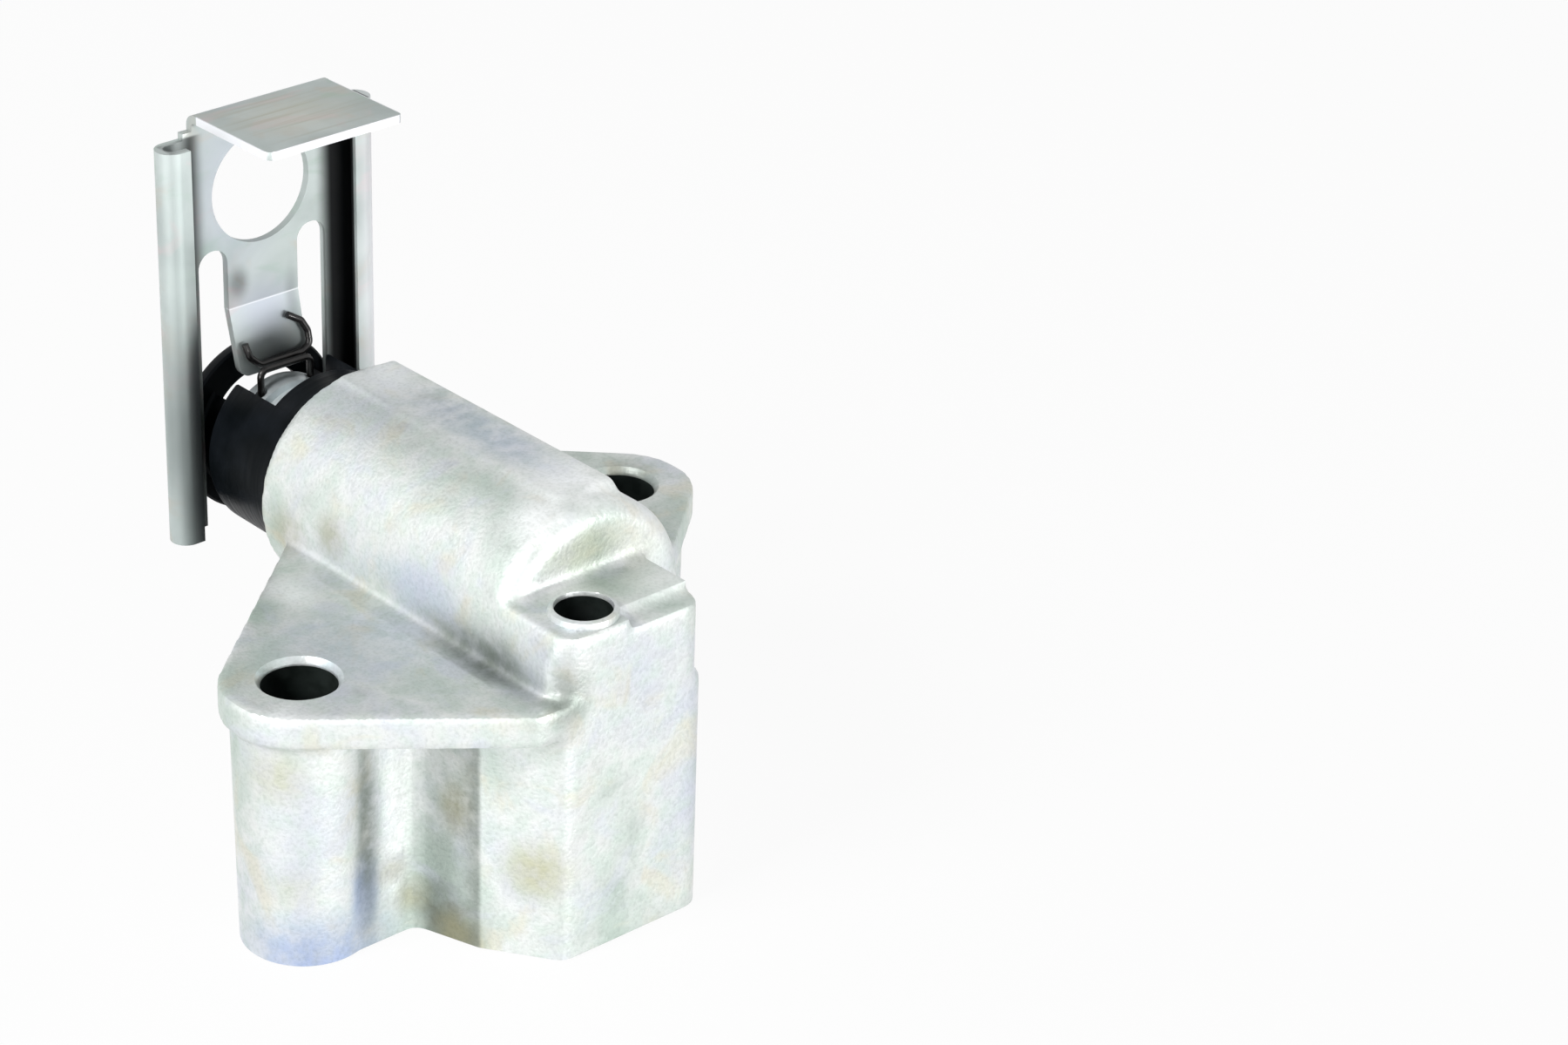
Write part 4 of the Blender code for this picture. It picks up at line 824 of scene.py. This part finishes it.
plug = {"radius": 8.0, "nose": 7.75, "front": 46.7, "back": 36.8, "collarFront": 41.5, "grooveDepth": 0.9,
        "legHole": 0.75, "legSpan": 3.6, "legPlace": 44.0, "legBottom": 38.6, "legTop": 46}


def makePlug():
    p = plug
    radius, front, collar, nose = p["radius"], p["front"], p["collarFront"], p["nose"]
    waist = nose - p["grooveDepth"]
    turned = turnedPiece("thrustPlug", [
        (0, front), (3.4, front), (3.6, front - 0.2), (4.2, front - 0.2), (4.4, front), (6.5, front - 0.02),
        (7.1, front - 0.2), (7.55, front - 0.6), (nose, front - 1.2), (nose, collar + 1.2),
        (waist, collar + 0.9), (waist, collar + 0.2), (nose - 0.5, collar), (radius - 0.3, collar),
        (radius, collar - 0.3), (radius, p["back"]), (0, p["back"])])
    # the staple's legs stand in two small holes
    for side in (-1, 1):
        place = (side * p["legSpan"], p["legPlace"])
        combine(turned, roundBar("stapleHole", p["legHole"], p["legBottom"], p["legTop"], place, steps=24))
    smoothShade(turned, 30)
    dress(turned, plugMat, "plunger", "plug_steel", "thrust_plug")


makePlunger()
makePlug()
print("plunger made")


# rail

rail = {
    "webBack": 48.0, "sheet": 1.0, "curl": 2.0, "lip": 1.3, "freeEdge": 11.6, "bottom": 23.9, "curlTop": 73.6,
    "shoulder": 10.6, "shoulderTop": 74.4, "lipTop": 76.499, "lipHalf": 9.4, "lipEnd": 33.0, "fold": 1.5,
    "lipLeftCorner": 1.0, "lipRightCorner": 0.7,
    "hole": 6.9, "holeHeight": 65.4, "window": 9.1, "windowTop": 59.0, "slot": 2.0,
    "tongue": 5.0, "tongueTip": 4.8, "tongueCorner": 1.2, "bend": 51.0, "bendInside": 2.0, "bendOutside": 3.0,
    "tip": 42.8, "lean": 13, "bevel": 0.14,
}


def curlSection():
    r = rail
    front = r["webBack"] + r["sheet"]
    centreX = r["freeEdge"] + r["lip"]
    centreY = front - r["curl"]
    inner = r["curl"] - r["sheet"]
    outside, inside = [], []
    steps = 14
    for step in range(steps + 1):
        angle = math.radians(90 - 180 * step / steps)
        outside.append((centreX + r["curl"] * math.cos(angle), centreY + r["curl"] * math.sin(angle)))
        inside.append((centreX + inner * math.cos(angle), centreY + inner * math.sin(angle)))
    right = outside + [(r["freeEdge"], centreY - r["curl"]), (r["freeEdge"], centreY - inner)] + inside[::-1]
    return right + [(-x, y) for x, y in right[::-1]]


def makeRail():
    r = rail
    back, curlTop = r["webBack"], r["curlTop"]
    front = back + r["sheet"]
    sheet = outlineSolid("railSheet", rounded(curlSection()), r["bottom"], curlTop)
    across = r["shoulder"]
    shoulder = rounded([(-across, back), (across, back), (across, front), (-across, front)])
    combine(sheet, outlineSolid("railShoulder", shoulder, curlTop - 1, r["shoulderTop"]), 'UNION')
    half, end, top, under = r["lipHalf"], r["lipEnd"], r["lipTop"], r["lipTop"] - r["sheet"]
    side = rounded([(back, curlTop - 0.9), (front, curlTop - 0.9), (front, top, r["fold"]), (end, top),
                    (end, under), (back, under, r["fold"] - r["sheet"])])
    lip = outlineSolid("railLip", side, -half, half, 'X')
    plan = rounded([(-half, front + 1), (-half, end, r["lipLeftCorner"]), (half, end, r["lipRightCorner"]),
                    (half, front + 1)])
    combine(lip, outlineSolid("lipPlan", plan, curlTop - 2, top + 1), 'INTERSECT')
    combine(sheet, lip, 'UNION')
    wide, tab, top, slot, bend = r["window"], r["tongue"], r["windowTop"], r["slot"], r["bend"]
    window = rounded([(-wide, r["bottom"] - 1), (wide, r["bottom"] - 1), (wide, top, slot), (tab, top, slot),
                      (tab, bend - 0.1), (-tab, bend - 0.1), (-tab, top, slot), (-wide, top, slot)])
    combine(sheet, outlineSolid("railWindow", window, back - 1, front + 1, 'Y'))
    tip, tipHalf, corner = r["tip"], r["tongueTip"], r["tongueCorner"]
    lean = math.tan(math.radians(r["lean"])) * (bend - tip)
    side = rounded([(front, bend + 1.2), (back, bend + 1.2), (back, bend, r["bendInside"]),
                    (back - lean, tip), (front - lean, tip), (front, bend, r["bendOutside"])])
    tongue = outlineSolid("railTongue", side, -tab - 1, tab + 1, 'X')
    plan = rounded([(-tab, bend + 2), (-tab, bend - 0.5), (-tipHalf, tip, corner), (tipHalf, tip, corner),
                    (tab, bend - 0.5), (tab, bend + 2)])
    combine(tongue, outlineSolid("tonguePlan", plan, back - lean - 1, front + 1, 'Y'), 'INTERSECT')
    combine(sheet, tongue, 'UNION')
    combine(sheet, roundBar("railHole", r["hole"], back - 1, front + 1, (0, r["holeHeight"]), 'Y', 64))
    facesOut(sheet)
    bevelEdges(sheet, r["bevel"], angle=40)
    smoothShade(sheet, 30)
    even = sheet.modifiers.new("even", 'WEIGHTED_NORMAL')
    even.keep_sharp = True
    applyModifier(sheet, even)
    dress(sheet, railMat, "plunger", "sheet_steel", "rail")
    print("rail", len(sheet.data.polygons), "faces")


makeRail()


# wires

wires = {
    "radius": 0.43, "bend": 0.9, "bevel": 0.08,
    # the most that a bend takes of the leg on either side
    "bendShare": 0.45,
    # from the tongue's face to the middle of the wire
    "offTongue": 0.73,
    # the clip's corners across and up; it lies along the tongue
    "clip": [
        (-4.1, 46.9), (-3.7, 45.2), (-2.4, 44.0), (3.6, 44.0), (4.9, 44.6), (4.9, 46.2), (4.2, 47.6),
        (2.4, 48.7)],
    "staple": [(-3.6, 44.0, 39.0), (-3.6, 44.0, 44.1), (3.6, 44.0, 44.1), (3.6, 44.0, 39.0)],
}


def bendWire(name, corners, steps=8):
    # corners are (x, y, z) in millimetres, each but the ends rounded by the wire's bend
    spots = [Vector(corner) for corner in corners]
    path = [spots[0]]
    for before, here, after in zip(spots, spots[1:], spots[2:]):
        back = (before - here).normalized()
        on = (after - here).normalized()
        half = back.angle(on) / 2
        shorter = min((before - here).length, (after - here).length)
        run = min(wires["bend"] / math.tan(half), shorter * wires["bendShare"])
        radius = run * math.tan(half)
        centre = here + (back + on).normalized() * (radius / math.sin(half))
        start = (here + back * run - centre).normalized()
        end = (here + on * run - centre).normalized()
        path += [centre + start.slerp(end, step / steps) * radius for step in range(steps + 1)]
    path.append(spots[-1])
    curve = bpy.data.curves.new(name, 'CURVE')
    curve.dimensions = '3D'
    curve.bevel_depth = wires["radius"] * mm
    curve.bevel_resolution = 5
    curve.use_fill_caps = True
    spline = curve.splines.new('POLY')
    spline.points.add(len(path) - 1)
    for point, spot in zip(spline.points, path):
        point.co = (*(spot * mm), 1)
    ob = bpy.data.objects.new(name, curve)
    bpy.context.scene.collection.objects.link(ob)
    pick(ob)
    bpy.ops.object.convert(target='MESH')
    ob = facesOut(bpy.context.active_object)
    bevelEdges(ob, wires["bevel"], angle=60)
    return smoothShade(ob, 40)


def besideTongue(height):
    # y of a wire that lies against the tongue, on the side towards the barrel
    lean = math.tan(math.radians(rail["lean"])) * max(rail["bend"] - height, 0)
    return rail["webBack"] - lean - wires["offTongue"]


clip = bendWire("clipWire", [(x, besideTongue(z), z) for x, z in wires["clip"]])
dress(clip, wireMat, "plunger", "spring_wire", "retaining_clip")
staple = bendWire("stapleWire", wires["staple"])
dress(staple, wireMat, "plunger", "spring_wire", "retaining_staple")
print("wires bent")


# nodes that keep their solids

kept = {"gallery_ball": valveMat, "valve_seat": valveMat, "check_ball": valveMat, "ball_cage": cageMat}
for name, mat in kept.items():
    ob = nodes[name]
    ob.data.materials.clear()
    ob.data.materials.append(mat)
    smoothShade(ob, 40)
print("kept nodes dressed")


# springs, each a copy of the part's coil

springs = {
    # still is the end that doesn't move, 0 for the rear and 1 for the front
    "plungerSpring": {"node": "plunger_spring", "joint": "plunger_slide", "still": 0, "travel": 11.5},
    "checkSpring": {"node": "check_spring", "joint": "check_ball_slide", "still": 1, "travel": 0.8},
}


def makeSpring(name, spring):
    coil = bpy.data.objects.new(name, nodes[spring["node"]].data.copy())
    bpy.context.scene.collection.objects.link(coil)
    dress(coil, wireMat, "housing", "spring_wire", spring["node"])
    smoothShade(coil, 40)
    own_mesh(coil)


for name, spring in springs.items():
    makeSpring(name, spring)
print("springs made")


# floor, light and camera

studio = {"floor": 0.85, "floorRoughness": 0.9, "floorGlow": 0.94, "floorSize": 6, "floorDrop": 0.0001,
          "world": 0.20, "aim": (0, 0, 0.035)}
lamps = {
    "keyLamp": {"place": (-0.62, 0.02, 0.50), "size": (0.30, 0.30), "power": 4.8},
    "rearLamp": {"place": (0.10, -0.90, 0.06), "size": (0.5, 0.14), "power": 7.4},
    "sideLamp": {"place": (-0.80, -0.20, 0.05), "size": (0.4, 0.12), "power": 2.5},
}
# fitted to the photograph: angles in degrees, focal length and centre in its pixels
camera = {"azimuth": -37.825, "elevation": 27.504, "roll": -0.494, "place": (-0.2487, -0.3032, 0.2450),
          "focal": 4601.2, "frame": 1800, "centre": 490, "sensor": 36, "near": 0.01}


def seenRays(tree, path):
    # 1 for rays of the camera, of reflections and of clear pieces, 0 for soft light
    total = path.outputs["Is Camera Ray"]
    for name in ("Is Glossy Ray", "Is Transmission Ray"):
        both = tree.nodes.new('ShaderNodeMath')
        both.use_clamp = True
        tree.links.new(total, both.inputs[0])
        tree.links.new(path.outputs[name], both.inputs[1])
        total = both.outputs[0]
    return total


def makeStage():
    s = studio
    clearSelection()
    bpy.ops.mesh.primitive_plane_add(size=s["floorSize"], location=(0, 0, -s["floorDrop"]))
    floor = named("floor")
    mat = bpy.data.materials.new("floorPaper")
    mat.use_nodes = True
    tree = mat.node_tree
    shader = tree.nodes["Principled BSDF"]
    shader.inputs["Base Color"].default_value = (s["floor"], s["floor"], s["floor"], 1)
    shader.inputs["Roughness"].default_value = s["floorRoughness"]
    glow = tree.nodes.new('ShaderNodeEmission')
    glow.inputs["Strength"].default_value = 1.0
    blend = tree.nodes.new('ShaderNodeMixShader')
    path = tree.nodes.new('ShaderNodeLightPath')
    share = tree.nodes.new('ShaderNodeMath')
    share.operation = 'MULTIPLY'
    share.inputs[1].default_value = s["floorGlow"]
    tree.links.new(seenRays(tree, path), share.inputs[0])
    tree.links.new(share.outputs[0], blend.inputs["Fac"])
    tree.links.new(shader.outputs["BSDF"], blend.inputs[1])
    tree.links.new(glow.outputs["Emission"], blend.inputs[2])
    tree.links.new(blend.outputs["Shader"], tree.nodes["Material Output"].inputs["Surface"])
    floor.data.materials.append(mat)


def makeWorld():
    world = bpy.data.worlds.new("studioWorld")
    bpy.context.scene.world = world
    world.use_nodes = True
    tree = world.node_tree
    soft = tree.nodes["Background"]
    soft.inputs["Color"].default_value = (1, 1, 1, 1)
    soft.inputs["Strength"].default_value = studio["world"]
    white = tree.nodes.new('ShaderNodeBackground')
    white.inputs["Color"].default_value = (1, 1, 1, 1)
    white.inputs["Strength"].default_value = 1.0
    path = tree.nodes.new('ShaderNodeLightPath')
    mix = tree.nodes.new('ShaderNodeMixShader')
    tree.links.new(seenRays(tree, path), mix.inputs["Fac"])
    tree.links.new(soft.outputs["Background"], mix.inputs[1])
    tree.links.new(white.outputs["Background"], mix.inputs[2])
    tree.links.new(mix.outputs["Shader"], tree.nodes["World Output"].inputs["Surface"])


def addLamp(name, place, size, power):
    light = bpy.data.lights.new(name, 'AREA')
    light.shape = 'RECTANGLE'
    light.size = size[0]
    light.size_y = size[1]
    light.energy = power
    ob = bpy.data.objects.new(name, light)
    bpy.context.scene.collection.objects.link(ob)
    ob.location = place
    aim = Vector(studio["aim"]) - Vector(place)
    ob.rotation_euler = aim.to_track_quat('-Z', 'Y').to_euler()


def makeCamera():
    c = camera
    azimuth, elevation, roll = (math.radians(c[name]) for name in ("azimuth", "elevation", "roll"))
    level = math.cos(elevation)
    back = Vector((math.sin(azimuth) * level, -math.cos(azimuth) * level, math.sin(elevation)))
    right = Vector((math.cos(azimuth), math.sin(azimuth), 0))
    up = back.cross(right)
    right, up = right * math.cos(roll) + up * math.sin(roll), up * math.cos(roll) - right * math.sin(roll)
    data = bpy.data.cameras.new("camera")
    data.sensor_width = c["sensor"]
    data.lens = c["focal"] / c["frame"] * c["sensor"]
    data.shift_x = (c["frame"] / 2 - c["centre"]) / c["frame"]
    data.clip_start = c["near"]
    cam = bpy.data.objects.new("camera", data)
    bpy.context.scene.collection.objects.link(cam)
    turned = Matrix((right, up, back)).transposed()
    cam.matrix_world = Matrix.Translation(c["place"]) @ turned.to_4x4()
    bpy.context.scene.camera = cam


makeStage()
makeWorld()
for name, lamp in lamps.items():
    addLamp(name, **lamp)
makeCamera()
bpy.context.scene.view_settings.view_transform = 'Standard'
print("stage set")
